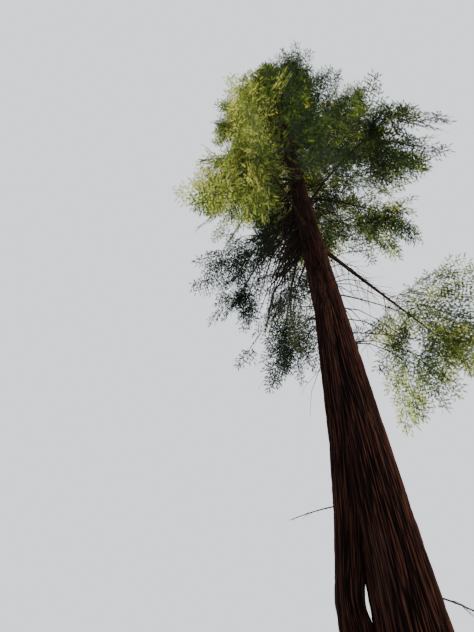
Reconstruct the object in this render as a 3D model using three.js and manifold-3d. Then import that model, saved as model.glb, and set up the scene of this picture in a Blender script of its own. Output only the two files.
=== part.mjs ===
// A coast redwood, drawn at 40 m: about 0.6 of the height of the tree it was measured from.
// Millimetres, +Z up. The origin is on the flat ground cut, under the main trunk's axis.
// +X is to the right and -Y towards a person who looks up at the tree from its front.
import * as THREE from "three";
import { mergeVertices } from "three/addons/utils/BufferGeometryUtils.js";
import Module from "manifold-3d";

const wasm = await Module();
wasm.setup();

const HEIGHT = 40000;
const SEED = 1907;
const CLEAR = 0.3;
const GOLDEN_TURN = 137.5;
const UP = new THREE.Vector3(0, 0, 1);

// The trunk leans to the right, is thick at the butt and ends under the leading shoot
const TRUNK_TOP = 37400;
const LEAN = 0.0245;
const BEND = 530;
const BUTT_RADIUS = 490;
const TAPER = 0.9;
const FLARE = 420;
const FLARE_HEIGHT = 1500;
const BUTTRESSES = 5;
const BUTTRESS_DEPTH = 0.17;
const BUTTRESS_HEIGHT = 2600;
const TRUNK_SIDES = 20;
const TRUNK_RINGS = 18;
const TRUNK_RING_SPACING = 1.35;

// The side stem stands left of the trunk, with a slit between them, and closes on its front
const STEM_TOP = 12300;
const STEM_STATIONS = [
  { height: 0, away: 1030, turn: 4, radius: 350 },
  { height: 1200, away: 925, turn: 5, radius: 255 },
  { height: 2600, away: 785, turn: 6, radius: 215 },
  { height: 3400, away: 722, turn: 7, radius: 208 },
  { height: 4150, away: 735, turn: 9, radius: 205 },
  { height: 5300, away: 550, turn: 16, radius: 212 },
  { height: 6700, away: 420, turn: 30, radius: 212 },
  { height: 8400, away: 380, turn: 49, radius: 210 },
  { height: 10300, away: 345, turn: 69, radius: 205 },
  { height: STEM_TOP, away: 215, turn: 84, radius: 120 },
];
const STEM_SIDES = 10;
const STEM_RINGS = 12;

// The crown is a tall cone with a blunt foot
const CROWN_FOOT = 13600;
const CROWN_REACH = 3800;
const CROWN_FULLNESS = 1.55;

// Boughs that show one by one: bearing is clockwise from +Y as seen from above
const SEEN_BOUGHS = [
  { height: 14550, bearing: 27, reach: 5400, droop: 15, bare: 0.48, radius: 78 },
  { height: 16300, bearing: -27, reach: 4600, droop: 12, bare: 0.4, radius: 62 },
  { height: 17350, bearing: -58, reach: 4000, droop: 14, bare: 0.4, radius: 64 },
  { height: 17900, bearing: 62, reach: 3400, droop: 10, bare: 0.38, radius: 50 },
  { height: 19950, bearing: -105, reach: 3600, droop: 7, bare: 0.42, radius: 54 },
  { height: 19700, bearing: 112, reach: 3200, droop: 8, bare: 0.38, radius: 48 },
  { height: 23500, bearing: -168, reach: 3300, droop: 10, bare: 0.4, radius: 44 },
];

// Others are added one by one, each at the emptiest of some random places
const FILLED_BOUGHS = 23;
const FILLED_FROM = 15000;
const FILLED_TO = 36900;
const TRIES = 60;
const FOLIAGE_MIDDLE = 0.7;
const ROOM_MARGIN = 1500;
const BARE_BOUGHS_TO = 25500;
const DROOP_FROM = 16;
const DROOP_TO = -18;
const DROOP_SPREAD = 4;
const REACH_TRIED = [0.85, 1.1];
const REACH_MORE = 400;
const BARE_TRIED = [0.24, 0.36];
const RADIUS_LEAST = 20;
const RADIUS_BY_REACH = 0.0095;
const SWEEP_TRIED = 0.15;
const RISE_TRIED = [0.12, 0.3];
const SEEN_SWEEP = 0.12;
const SEEN_RISE = 0.12;

// Dead limbs on the clear part of the stems; one that stands aside grows from the side stem
const DEAD_LIMBS = [
  { name: "dead_limb_low_right", height: 4200, bearing: 62, reach: 1250, droop: 24, radius: 17 },
  { name: "dead_limb_low_left", height: 5550, bearing: -100, reach: 900, droop: 4, radius: 14, aside: true },
  { name: "dead_limb_right", height: 9900, bearing: 70, reach: 2200, droop: 22, radius: 16 },
  { name: "broken_stub", height: 10650, bearing: -95, reach: 620, droop: -8, radius: 52 },
  { name: "dead_limb_high_right", height: 11600, bearing: 60, reach: 1750, droop: 26, radius: 26 },
];

// Limbs taper to a share of their root's radius
const BOUGH_SIDES = 5;
const BOUGH_SEGMENTS = 4;
const BOUGH_TIP = 0.62;
const DEAD_TIP = 0.4;
const DEAD_SWEEP = 0.1;
const CURVE_STEP = 0.01;
const NEAR_UPRIGHT = 0.05;

// Each mass of foliage has one stem, on from its bough's tip, with twigs by the golden turn round it.
// Lengths grow with the bough's reach.
const MASS_STEM_SIDES = 4;
const STEM_SEGMENTS = 3;
const STEM_TIP = 0.25;
const TWIGS = 15;
const TWIG_THICK = 0.32;
const AXIS_STEP = 0.02;
const SPRAYS_A_TWIG = 2;
const TWIG_LENGTH = 250;
const TWIG_LENGTH_BY_REACH = 0.36;
const TWIG_SHORTENING = 0.55;
const LAST_TWIG = 0.97;
const FIRST_TWIG_ON_BOUGH = 0.1;
const FIRST_TWIG_ON_TRUNK = 0.34;
const TWIG_SPREAD = [0.75, 1.15];
const ROLL_SPREAD = 25;
const TWIG_OPENING = [42, 66];
const TWIG_DROOP = [0.1, 0.34];
const SIDE_SPRAY_TURN = [40, 70];
const SIDE_SPRAY_PLACE = [0.4, 0.8];
const SIDE_SPRAY_DROOP = 0.8;

// A spray is drawn larger than life, as a thin blade with teeth, and may be turned about its stalk
const SPRAY_LENGTH = 600;
const SPRAY_LENGTH_BY_REACH = 0.3;
const SPRAY_SPREAD = [0.8, 1.2];
const SPRAY_TILT = 75;
const SPRAY_OUTLINE = [
  [0.5, -0.46],
  [0.7, -0.22],
  [1, 0.02],
  [0.62, 0.2],
  [0.36, 0.46],
];
const SPRAY_MIDDLE = 0.45;
const SPRAY_THICK = 0.045;

// Each mass keeps to its own space; a twig or spray that would leave it is tried again, then left out
const STEM_GAP = 30;
const SPACE_MARGIN = 90;
const LIMB_MARGIN = 45;
const REACH_MARGIN = 550;
const REACH_SPREAD = 1.03;
const LINE_STEPS = 12;
const BARE_LINE_STEPS = 4;
const BARE_LINE_SHARE = 0.87;
const GOES = 9;
const SHORTER_EACH_GO = 0.08;
const LEADER = { bare: 0, tipRadius: 38, limit: 1000, spraySize: 850, twigLength: 850, firstTwig: 0.06 };

const BARK = { color: 0x5a3526, roughness: 0.95 };
const DEAD_WOOD = { color: 0x4a3c33, roughness: 0.9 };
const NEEDLES = { color: 0x3f5a2a, roughness: 0.7 };

const radians = (degrees) => (degrees * Math.PI) / 180;

// A small seeded generator, so that the tree is the same on each run
function seeded(seed) {
  let state = seed >>> 0;
  return () => {
    state = (Math.imul(state, 1664525) + 1013904223) >>> 0;
    return state / 4294967296;
  };
}

const between = (random, low, high) => low + (high - low) * random();

// Heading seen from above, clockwise from +Y
const heading = (bearing) => new THREE.Vector3(Math.sin(radians(bearing)), Math.cos(radians(bearing)), 0);

// The trunk's centre and radius at a height
const trunkAxis = (height) => new THREE.Vector3(LEAN * height + BEND * (height / HEIGHT) ** 2, 0, height);

const trunkRadius = (height) =>
  BUTT_RADIUS * (1 - height / HEIGHT) ** TAPER + FLARE * Math.exp(-height / FLARE_HEIGHT);

// The same with its buttresses, one of which faces the side stem
function buttressedRadius(height, angle) {
  const depth = BUTTRESS_DEPTH * Math.exp(-height / BUTTRESS_HEIGHT);
  return trunkRadius(height) * (1 + depth * Math.cos(BUTTRESSES * (angle - Math.PI)));
}

// A value between the side stem's stations
function station(height, key) {
  const next = Math.max(1, STEM_STATIONS.findIndex((s) => s.height >= height));
  const a = STEM_STATIONS[next - 1];
  const b = STEM_STATIONS[next];
  return THREE.MathUtils.lerp(a[key], b[key], (height - a.height) / (b.height - a.height));
}

function stemAxis(height) {
  const turn = radians(station(height, "turn"));
  const away = station(height, "away");
  return trunkAxis(height).add(new THREE.Vector3(-away * Math.cos(turn), -away * Math.sin(turn), 0));
}

// A closed mesh as a solid, with doubled corners merged and collapsed faces dropped
function solidOf(geometry) {
  const bare = geometry.clone();
  bare.deleteAttribute("normal");
  bare.deleteAttribute("uv");
  const merged = mergeVertices(bare, 1e-3);
  const faces = [];
  for (let i = 0; i < merged.index.count; i += 3) {
    const [a, b, c] = [0, 1, 2].map((k) => merged.index.getX(i + k));
    if (a !== b && b !== c && c !== a) faces.push(a, b, c);
  }
  return new wasm.Manifold(
    new wasm.Mesh({
      numProp: 3,
      vertProperties: merged.attributes.position.array,
      triVerts: new Uint32Array(faces),
    }),
  );
}

// A unit cylinder whose points are moved by place(share along, x across, y across)
function shapedCylinder(sides, segments, place) {
  const geometry = new THREE.CylinderGeometry(1, 1, 1, sides, segments);
  const position = geometry.getAttribute("position");
  for (let i = 0; i < position.count; i++) {
    const p = place(position.getY(i) + 0.5, position.getX(i), position.getZ(i));
    position.setXYZ(i, p.x, p.y, p.z);
  }
  return solidOf(geometry);
}

// An upright stem of level rings, so that its foot is a flat cut
function uprightStem(top, rings, sides, axis, radius, spacing) {
  return shapedCylinder(sides, rings, (share, x, y) => {
    const height = top * share ** spacing;
    const angle = Math.atan2(y, x);
    const r = radius(height, angle) * Math.hypot(x, y);
    return axis(height).add(new THREE.Vector3(r * Math.cos(angle), -r * Math.sin(angle), 0));
  });
}

// A limb along part of a curve: its rings stand square to the curve, and it runs straight between them
function limb(curve, from, to, radius, sides, segments) {
  return shapedCylinder(sides, segments, (share, x, y) => {
    const at = THREE.MathUtils.lerp(from, to, share);
    const ahead = curve(at + CURVE_STEP).sub(curve(at - CURVE_STEP)).normalize();
    const across = new THREE.Vector3().crossVectors(ahead, UP);
    if (across.length() < NEAR_UPRIGHT) across.set(1, 0, 0);
    across.normalize();
    const third = new THREE.Vector3().crossVectors(across, ahead);
    return curve(at).addScaledVector(across, x * radius(share)).addScaledVector(third, y * radius(share));
  });
}

// The axis of such a limb, as a function of the share along it
function axisOf(curve, from, to, segments) {
  return (share) => {
    const k = Math.min(segments - 1, Math.max(0, Math.floor(share * segments)));
    const a = curve(THREE.MathUtils.lerp(from, to, k / segments));
    const b = curve(THREE.MathUtils.lerp(from, to, (k + 1) / segments));
    return a.lerp(b, share * segments - k);
  };
}

// A bough's line: it leaves the trunk level or rising, sweeps a little aside, and sags outwards
function boughPath(bough) {
  const start = trunkAxis(bough.height);
  const out = heading(bough.bearing);
  const aside = heading(bough.bearing + 90);
  const fall = Math.tan(radians(bough.droop)) * bough.reach;
  const lift = bough.rise * bough.reach;
  return (share) =>
    start
      .clone()
      .addScaledVector(out, bough.reach * share)
      .addScaledVector(aside, bough.sweep * bough.reach * share * share)
      .addScaledVector(UP, lift * share - (fall + lift) * share * share);
}

const crownReach = (height) =>
  CROWN_REACH * (1 - Math.max(0, (height - CROWN_FOOT) / (HEIGHT - CROWN_FOOT)) ** CROWN_FULLNESS);

function tryBough(random) {
  const height = between(random, FILLED_FROM, FILLED_TO);
  const share = (height - FILLED_FROM) / (FILLED_TO - FILLED_FROM);
  const reach = crownReach(height) * between(random, ...REACH_TRIED) + REACH_MORE;
  return {
    height,
    bearing: between(random, 0, 360),
    reach,
    droop: THREE.MathUtils.lerp(DROOP_FROM, DROOP_TO, share) + between(random, -DROOP_SPREAD, DROOP_SPREAD),
    bare: between(random, ...BARE_TRIED),
    radius: RADIUS_LEAST + reach * RADIUS_BY_REACH,
    sweep: between(random, -SWEEP_TRIED, SWEEP_TRIED),
    rise: between(random, ...RISE_TRIED),
  };
}

const middleOf = (bough) => boughPath(bough)(FOLIAGE_MIDDLE);

// How far a bough's foliage stands from its nearest neighbour's, for their sizes
function roomFor(bough, others) {
  const middle = middleOf(bough);
  const rooms = others.map((b) => middleOf(b).distanceTo(middle) / (b.reach + bough.reach + ROOM_MARGIN));
  return Math.min(...rooms);
}

function allBoughs() {
  const random = seeded(SEED);
  const sweepOf = () => between(random, -SEEN_SWEEP, SEEN_SWEEP);
  const boughs = SEEN_BOUGHS.map((b) => ({ ...b, sweep: sweepOf(), rise: SEEN_RISE }));
  for (let i = 0; i < FILLED_BOUGHS; i++) {
    const tries = Array.from({ length: TRIES }, () => tryBough(random));
    boughs.push(tries.reduce((best, b) => (roomFor(b, boughs) > roomFor(best, boughs) ? b : best)));
  }
  boughs.sort((a, b) => a.height - b.height);
  boughs.forEach((b) => {
    b.path = boughPath(b);
    b.hasLimb = b.height < BARE_BOUGHS_TO;
    if (!b.hasLimb) b.bare = 0;
    b.line = Array.from({ length: LINE_STEPS + 1 }, (_, i) => b.path(i / LINE_STEPS));
  });
  return boughs;
}

const boughs = allBoughs();
const leader = { path: (share) => trunkAxis(TRUNK_TOP + CLEAR + (HEIGHT - TRUNK_TOP - CLEAR) * share) };
leader.line = [leader.path(0), leader.path(1)];
const allLines = [...boughs, leader];

const segment = new THREE.Line3();
const closest = new THREE.Vector3();

function distanceToLine(point, line) {
  let least = Infinity;
  for (let i = 1; i < line.length; i++) {
    segment.set(line[i - 1], line[i]).closestPointToPoint(point, true, closest);
    least = Math.min(least, closest.distanceTo(point));
  }
  return least;
}

// A point belongs to the mass whose line is nearest, and stays clear of the trunk and of its own bough
function inSpace(point, mass) {
  const own = distanceToLine(point, mass.line);
  const axis = trunkAxis(Math.min(point.z, TRUNK_TOP));
  const fromTrunk = Math.hypot(point.x - axis.x, point.y - axis.y);
  if (point.z > HEIGHT || fromTrunk > mass.limit) return false;
  if (point.z < TRUNK_TOP && fromTrunk < trunkRadius(point.z) + LIMB_MARGIN) return false;
  if (mass.bareLine && distanceToLine(point, mass.bareLine) < mass.radius + LIMB_MARGIN) return false;
  return allLines.every((other) => other === mass || distanceToLine(point, other.line) > own + SPACE_MARGIN);
}

// A spray of needles: a thin toothed blade, from a point or from the neck of a three-sided stalk
function spray(root, along, side, stalk, length, thick) {
  const flat = new THREE.Vector3().crossVectors(along, side).normalize();
  const at = (a, b, c) =>
    root.clone().addScaledVector(along, a).addScaledVector(side, b).addScaledVector(flat, c);
  const ring = (a, t) => [at(a, t, -t / 2), at(a, 0, t), at(a, -t, -t / 2)];
  const foot = stalk > 0 ? [...ring(0, thick), ...ring(stalk, thick / 2)] : [root];
  const corners = SPRAY_OUTLINE.map(([a, b]) => at(stalk + a * length, b * length, 0));
  const half = (SPRAY_THICK * length) / 2;
  const [top, under] = [half, -half].map((c) => at(stalk + SPRAY_MIDDLE * length, 0, c));
  const points = [...foot, ...corners, top, under];

  const faces = [];
  if (stalk > 0) {
    faces.push(0, 2, 1);
    for (let k = 0; k < 3; k++) {
      const next = (k + 1) % 3;
      faces.push(3 + k, k, next, 3 + k, next, 3 + next);
    }
  }
  const rim = corners.map((_, k) => foot.length + k);
  const [topPoint, underPoint] = [points.length - 2, points.length - 1];
  const topRim = stalk > 0 ? [3, 4, 5, ...rim] : [0, ...rim];
  const underRim = stalk > 0 ? [3, 5, ...rim] : [0, ...rim];
  topRim.forEach((p, k) => faces.push(topPoint, p, topRim[(k + 1) % topRim.length]));
  underRim.forEach((p, k) => faces.push(underPoint, underRim[(k + 1) % underRim.length], p));

  const geometry = new THREE.BufferGeometry().setFromPoints(points);
  geometry.setIndex(faces);
  return {
    solid: solidOf(geometry),
    blade: corners,
    stalk: stalk > 0 ? [root, at(stalk, 0, 0)] : null,
    axes: [along, side, flat],
    length,
  };
}

const centreOf = (points) =>
  points.reduce((sum, p) => sum.add(p), new THREE.Vector3()).divideScalar(points.length);

// Two sets of points stand apart if, seen along one of some directions, one ends before the other begins
function standApart(a, b, axes, gap) {
  const across = centreOf(b).sub(centreOf(a)).normalize();
  return [...axes, across].some((axis) => {
    const [p, q] = [a, b].map((points) => points.map((point) => point.dot(axis)));
    return Math.max(...p) + gap < Math.min(...q) || Math.max(...q) + gap < Math.min(...p);
  });
}

// A spray's blade and stalk cross neither another's blade nor its stalk, unless it grows from that stalk
function clearOf(made, other, parent) {
  const [gap, otherGap] = [made, other].map((one) => (one.length * SPRAY_THICK) / 2);
  if (!standApart(made.blade, other.blade, [...made.axes, ...other.axes], gap + otherGap)) return false;
  if (made.stalk && !standApart(made.stalk, other.blade, other.axes, otherGap)) return false;
  return !other.stalk || other === parent || standApart(made.blade, other.stalk, made.axes, gap);
}

// Tries to set a spray: it must keep to the space of its mass and clear of the mass's stem and sprays
function setSpray(mass, random, { root, along, stalk = 0, length, thick = 0, parent = null }) {
  const level = new THREE.Vector3().crossVectors(along, UP).normalize();
  level.applyAxisAngle(along, radians(between(random, -SPRAY_TILT, SPRAY_TILT)));
  const made = spray(root, along, level, stalk, length, thick);
  const neck = root.clone().addScaledVector(along, stalk);
  if (![...made.blade, neck].every((p) => inSpace(p, mass))) return null;
  if (!mass.sprays.every((other) => clearOf(made, other, parent))) return null;
  if (!mass.stem.every((run) => standApart(made.blade, run, made.axes, STEM_GAP))) return null;
  mass.sprays.push(made);
  return made;
}

// A twig with the spray at its tip and, where there is room, one at its side
function twig(mass, random, root, way, length, thick) {
  const size = mass.spraySize * between(random, ...SPRAY_SPREAD);
  const main = setSpray(mass, random, { root, along: way, stalk: length, length: size, thick });
  if (!main) return [];
  const solids = [main.solid];
  const across = new THREE.Vector3().crossVectors(way, UP).normalize();
  const square = new THREE.Vector3().crossVectors(across, way);
  for (let k = 0; k < GOES && solids.length < SPRAYS_A_TWIG; k++) {
    const turn = (random() < 0.5 ? 1 : -1) * between(random, ...SIDE_SPRAY_TURN);
    const along = way.clone().applyAxisAngle(square, radians(turn));
    along.addScaledVector(UP, -between(random, 0, SIDE_SPRAY_DROOP)).normalize();
    const from = root.clone().addScaledVector(way, length * between(random, ...SIDE_SPRAY_PLACE));
    const shorter = size * (1 - SHORTER_EACH_GO * k);
    const beside = setSpray(mass, random, { root: from, along, length: shorter, parent: main });
    if (beside) solids.push(beside.solid);
  }
  return solids;
}

// A mass of foliage: a stem that goes on from the bough's tip, with twigs all round it
function growMass(mass, index) {
  const random = seeded(SEED + 97 * (index + 1));
  mass.sprays = [];
  const axis = axisOf(mass.path, mass.bare, 1, STEM_SEGMENTS);
  const corner = (k) => axis(k / STEM_SEGMENTS);
  mass.stem = Array.from({ length: STEM_SEGMENTS }, (_, k) => [corner(k), corner(k + 1)]);
  const stemRadius = (share) => mass.tipRadius * (1 - (1 - STEM_TIP) * share);
  let solid = limb(mass.path, mass.bare, 1, stemRadius, MASS_STEM_SIDES, STEM_SEGMENTS);
  for (let i = 0; i < TWIGS; i++) {
    const share = THREE.MathUtils.lerp(mass.firstTwig, LAST_TWIG, i / (TWIGS - 1));
    const ahead = axis(share + AXIS_STEP).sub(axis(share - AXIS_STEP)).normalize();
    const across = new THREE.Vector3().crossVectors(ahead, UP).normalize();
    let pieces = [];
    for (let k = 0; k < GOES && !pieces.length; k++) {
      const roll = GOLDEN_TURN * i + between(random, -ROLL_SPREAD, ROLL_SPREAD) * (1 + k);
      const open = radians(between(random, ...TWIG_OPENING) * (1 - share / 2));
      const way = across.clone().applyAxisAngle(ahead, radians(roll));
      way.multiplyScalar(Math.sin(open)).addScaledVector(ahead, Math.cos(open));
      way.addScaledVector(UP, -between(random, ...TWIG_DROOP)).normalize();
      const full = mass.twigLength * (1 - TWIG_SHORTENING * share) * between(random, ...TWIG_SPREAD);
      const length = full * (1 - SHORTER_EACH_GO * k);
      pieces = twig(mass, random, axis(share), way, length, stemRadius(share) * TWIG_THICK);
    }
    pieces.forEach((piece) => (solid = solid.add(piece)));
  }
  return solid;
}

// Turns a solid into a named mesh with its own material
function meshOf(name, solid, look) {
  const { numProp, vertProperties, triVerts } = solid.getMesh();
  const position = new Float32Array((vertProperties.length / numProp) * 3);
  for (let i = 0; i < position.length / 3; i++) {
    position.set(vertProperties.subarray(i * numProp, i * numProp + 3), i * 3);
  }
  const geometry = new THREE.BufferGeometry();
  geometry.setAttribute("position", new THREE.BufferAttribute(position, 3));
  geometry.setIndex(new THREE.BufferAttribute(triVerts, 1));
  geometry.computeVertexNormals();
  const mesh = new THREE.Mesh(geometry, new THREE.MeshStandardMaterial({ ...look, metalness: 0 }));
  mesh.name = name;
  return mesh;
}

const tree = new THREE.Group();

// The two stems; each limb below is cut by them grown a little, so that it starts just clear of the bark
function trunkSolid(extra) {
  const radius = (height, angle) => buttressedRadius(height, angle) + extra;
  return uprightStem(TRUNK_TOP, TRUNK_RINGS, TRUNK_SIDES, trunkAxis, radius, TRUNK_RING_SPACING);
}

function sideStemSolid(extra) {
  const radius = (height) => station(height, "radius") + extra;
  return uprightStem(STEM_TOP, STEM_RINGS, STEM_SIDES, stemAxis, radius, 1);
}

const grownTrunk = trunkSolid(CLEAR);
const grownSideStem = sideStemSolid(CLEAR);
tree.add(meshOf("trunk", trunkSolid(0), BARK));
tree.add(meshOf("side_stem", sideStemSolid(0).subtract(grownTrunk), BARK));

for (const dead of DEAD_LIMBS) {
  const line = boughPath({ ...dead, sweep: DEAD_SWEEP, rise: 0 });
  const toRoot = new THREE.Vector3();
  if (dead.aside) toRoot.subVectors(stemAxis(dead.height), trunkAxis(dead.height));
  const path = (share) => line(share).add(toRoot);
  const radius = (share) => THREE.MathUtils.lerp(dead.radius, dead.radius * DEAD_TIP, share);
  const wood = limb(path, 0, 1, radius, BOUGH_SIDES, BOUGH_SEGMENTS);
  tree.add(meshOf(dead.name, wood.subtract(grownTrunk).subtract(grownSideStem), DEAD_WOOD));
}

const numbered = (word, i) => `${word}_${String(i + 1).padStart(2, "0")}`;

boughs.forEach((bough, i) => {
  bough.limit = bough.reach * REACH_SPREAD + REACH_MARGIN;
  bough.spraySize = SPRAY_LENGTH + bough.reach * SPRAY_LENGTH_BY_REACH;
  bough.twigLength = TWIG_LENGTH + bough.reach * TWIG_LENGTH_BY_REACH;
  bough.firstTwig = bough.hasLimb ? FIRST_TWIG_ON_BOUGH : FIRST_TWIG_ON_TRUNK;
  bough.tipRadius = bough.hasLimb ? bough.radius * BOUGH_TIP : bough.radius;
  if (bough.hasLimb) {
    const radius = (share) => THREE.MathUtils.lerp(bough.radius, bough.tipRadius, share);
    const wood = limb(bough.path, 0, bough.bare, radius, BOUGH_SIDES, BOUGH_SEGMENTS);
    tree.add(meshOf(numbered("bough", i), wood.subtract(grownTrunk), BARK));
    const bareShare = (k) => (bough.bare * BARE_LINE_SHARE * k) / BARE_LINE_STEPS;
    bough.bareLine = Array.from({ length: BARE_LINE_STEPS + 1 }, (_, k) => bough.path(bareShare(k)));
    bough.bare += CLEAR / bough.reach;
  }
  tree.add(meshOf(numbered("foliage", i), growMass(bough, i).subtract(grownTrunk), NEEDLES));
});

Object.assign(leader, LEADER);
tree.add(meshOf("crown_top", growMass(leader, boughs.length), NEEDLES));

export default tree;
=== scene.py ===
# A coast redwood, drawn at 40 m: two stems in fibrous bark, live boughs, and a crown that is grown twig by
# twig, by the rule of the solid model's masses of foliage, and carried on to single shoots of needles.
# Metres, +Z up. The origin is on the flat ground cut, under the trunk's axis.
import math

import bpy
import numpy as np
from mathutils import Matrix, Vector


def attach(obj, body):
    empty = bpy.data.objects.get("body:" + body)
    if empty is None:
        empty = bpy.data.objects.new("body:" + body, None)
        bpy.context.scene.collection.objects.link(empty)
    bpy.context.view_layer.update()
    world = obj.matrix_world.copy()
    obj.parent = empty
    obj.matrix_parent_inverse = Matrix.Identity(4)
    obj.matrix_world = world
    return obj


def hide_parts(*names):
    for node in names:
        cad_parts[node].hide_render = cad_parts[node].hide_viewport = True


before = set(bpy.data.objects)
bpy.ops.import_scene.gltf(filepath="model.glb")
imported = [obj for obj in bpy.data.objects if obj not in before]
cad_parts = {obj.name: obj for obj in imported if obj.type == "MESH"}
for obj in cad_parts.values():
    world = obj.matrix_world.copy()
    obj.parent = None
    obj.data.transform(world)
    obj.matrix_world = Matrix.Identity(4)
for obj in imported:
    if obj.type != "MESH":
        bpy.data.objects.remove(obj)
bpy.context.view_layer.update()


# Trunk: one tapering stem of wood in thick soft bark, which splits into long upright ridges that part and
# meet again. It leans to the right, and spreads at its foot into five low buttresses and a root flare that
# is cut flat at the ground. It is two lengths of mesh, one above the other, with the ridges as real relief.
HEIGHT = 40.0
TRUNK_TOP = 37.4
LEAN = 0.0245
BEND = 0.53
BUTT_RADIUS = 0.49
TAPER = 0.9
FLARE = 0.42
FLARE_HEIGHT = 1.5
BUTTRESSES = 5
BUTTRESS_DEPTH = 0.17
BUTTRESS_HEIGHT = 2.6
TRUNK_JOIN = 14.0
LOWER_RINGS = 250
LOWER_SIDES = 390
UPPER_RINGS = 250
UPPER_SIDES = 250
RIDGED_RADIUS = 0.6  # at this radius a ridge has its own width; on a thinner stem it is narrower
SPLAYED_RADIUS = 0.5  # where the trunk is thicker than this, no ridges are added: they only splay
STEM_RIDGES = {"Ridge width": 0.044, "Ridge length": 1.8, "Furrow share": 0.068, "Wander": 0.4}


def trunk_axis(height):
    height = np.asarray(height, float)
    return np.stack([LEAN * height + BEND * (height / HEIGHT) ** 2, 0 * height, height], -1)


def trunk_radius(height):
    return BUTT_RADIUS * (1 - height / HEIGHT) ** TAPER + FLARE * np.exp(-height / FLARE_HEIGHT)


def buttressed_radius(height, angle):
    depth = BUTTRESS_DEPTH * np.exp(-height / BUTTRESS_HEIGHT)
    return trunk_radius(height) * (1 + depth * np.cos(BUTTRESSES * (angle - math.pi)))


def round_angles(sides):
    return np.arange(sides) * 2 * math.pi / sides


def tube(centres, across, aside, radii, bark_radii):
    """A closed tube of rings: its points and faces, each point's place on the bark, and its way out.

    across and aside span each ring, radii has a row for each ring, and bark_radii is how far from its own
    axis the bark's pattern takes the ring to be.
    """
    rings, sides = radii.shape
    angle = round_angles(sides)[None, :, None]
    out = across[:, None] * np.cos(angle) + aside[:, None] * np.sin(angle)
    along = np.concatenate([[0], np.cumsum(np.linalg.norm(np.diff(centres, axis=0), axis=1))])
    round_place = np.stack([np.cos(angle[..., 0]), np.sin(angle[..., 0])], -1) * bark_radii[:, None, None]
    place = np.concatenate([round_place, np.broadcast_to(along[:, None, None], (rings, sides, 1))], -1)

    column = np.arange(sides)
    turned = np.roll(column, -1)
    row = np.arange(rings - 1)[:, None] * sides
    quads = np.stack([row + column, row + turned, row + sides + turned, row + sides + column], -1)
    foot, tip = rings * sides, rings * sides + 1
    last = (rings - 1) * sides
    foot_fan = np.stack([np.full(sides, foot), turned, column], -1)
    tip_fan = np.stack([np.full(sides, tip), last + column, last + turned], -1)
    end_places = [[0, 0, along[0]], [0, 0, along[-1]]]
    walls = centres[:, None] + out * radii[..., None]
    return {
        "points": np.concatenate([walls.reshape(-1, 3), centres[[0, -1]]]),
        "place": np.concatenate([place.reshape(-1, 3), end_places]),
        "out": np.concatenate([out.reshape(-1, 3), np.zeros((2, 3))]),
        "quads": quads.reshape(-1, 4),
        "triangles": np.concatenate([foot_fan, tip_fan]),
    }


def new_object(name, points, edges=(), faces=(), attributes=None):
    """An object with a mesh of its own, whose points carry these attributes."""
    mesh = bpy.data.meshes.new(name)
    mesh.from_pydata(points, edges, faces)
    for label, values in (attributes or {}).items():
        values = np.asarray(values, np.float32)
        kind, field = ("FLOAT_VECTOR", "vector") if values.ndim == 2 else ("FLOAT", "value")
        mesh.attributes.new(label, kind, "POINT").data.foreach_set(field, values.ravel())
    made = bpy.data.objects.new(name, mesh)
    bpy.context.scene.collection.objects.link(made)
    return made


def joined_tubes(name, tubes):
    """One object of several tubes."""
    shift = np.cumsum([0] + [len(one["points"]) for one in tubes])
    faces = []
    for one, first in zip(tubes, shift):
        faces += (one["quads"] + first).tolist() + (one["triangles"] + first).tolist()
    points, place, out = (np.concatenate([one[key] for one in tubes]) for key in ("points", "place", "out"))
    return new_object(name, points, faces=faces, attributes={"place": place, "out": out})


class Socket:
    """An output in a node tree. Arithmetic on it adds Math nodes."""

    def __init__(self, nodes, socket):
        self.nodes = nodes
        self.socket = socket

    def math(self, operation, *values):
        return self.nodes.add("ShaderNodeMath", {"operation": operation}, dict(enumerate(values)))

    def __add__(self, other):
        return self.math("ADD", self, other)

    def __radd__(self, other):
        return self.math("ADD", other, self)

    def __sub__(self, other):
        return self.math("SUBTRACT", self, other)

    def __rsub__(self, other):
        return self.math("SUBTRACT", other, self)

    def __mul__(self, other):
        return self.math("MULTIPLY", self, other)

    def __rmul__(self, other):
        return self.math("MULTIPLY", other, self)


class Nodes:
    """A node tree that is filled by one method."""

    def __init__(self, tree):
        self.tree = tree

    def add(self, kind, settings=None, values=None, output=0):
        """Adds a node, makes its settings, then fills its sockets with values or links. Gives one output."""
        node = self.tree.nodes.new(kind)
        for name, value in (settings or {}).items():
            if name == "stops":
                self.set_stops(node.color_ramp, value)
            else:
                setattr(node, name, value)
        for key, value in (values or {}).items():
            socket = self.find(node.inputs, key)
            if isinstance(value, Socket):
                self.tree.links.new(value.socket, socket)
            else:
                socket.default_value = value
        return Socket(self, self.find(node.outputs, output))

    @staticmethod
    def find(sockets, key):
        if isinstance(key, int):
            return sockets[key]
        return next(s for s in sockets if key in (s.identifier, s.name))

    @staticmethod
    def set_stops(ramp, stops):
        while len(ramp.elements) < len(stops):
            ramp.elements.new(1.0)
        for element, (position, colour) in zip(ramp.elements, stops):
            element.position = position
            element.color = (*colour, 1.0)


def new_tree(name, inputs):
    """A Geometry Nodes tree with a geometry at each end, and its named inputs as sockets."""
    tree = bpy.data.node_groups.new(name, "GeometryNodeTree")
    tree.interface.new_socket("Geometry", in_out="INPUT", socket_type="NodeSocketGeometry")
    for label, kind in inputs.items():
        tree.interface.new_socket(label, in_out="INPUT", socket_type=kind)
    tree.interface.new_socket("Geometry", in_out="OUTPUT", socket_type="NodeSocketGeometry")
    nodes = Nodes(tree)
    start = tree.nodes.new("NodeGroupInput")
    return nodes, {s.name: Socket(nodes, s) for s in start.outputs if s.name}


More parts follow.
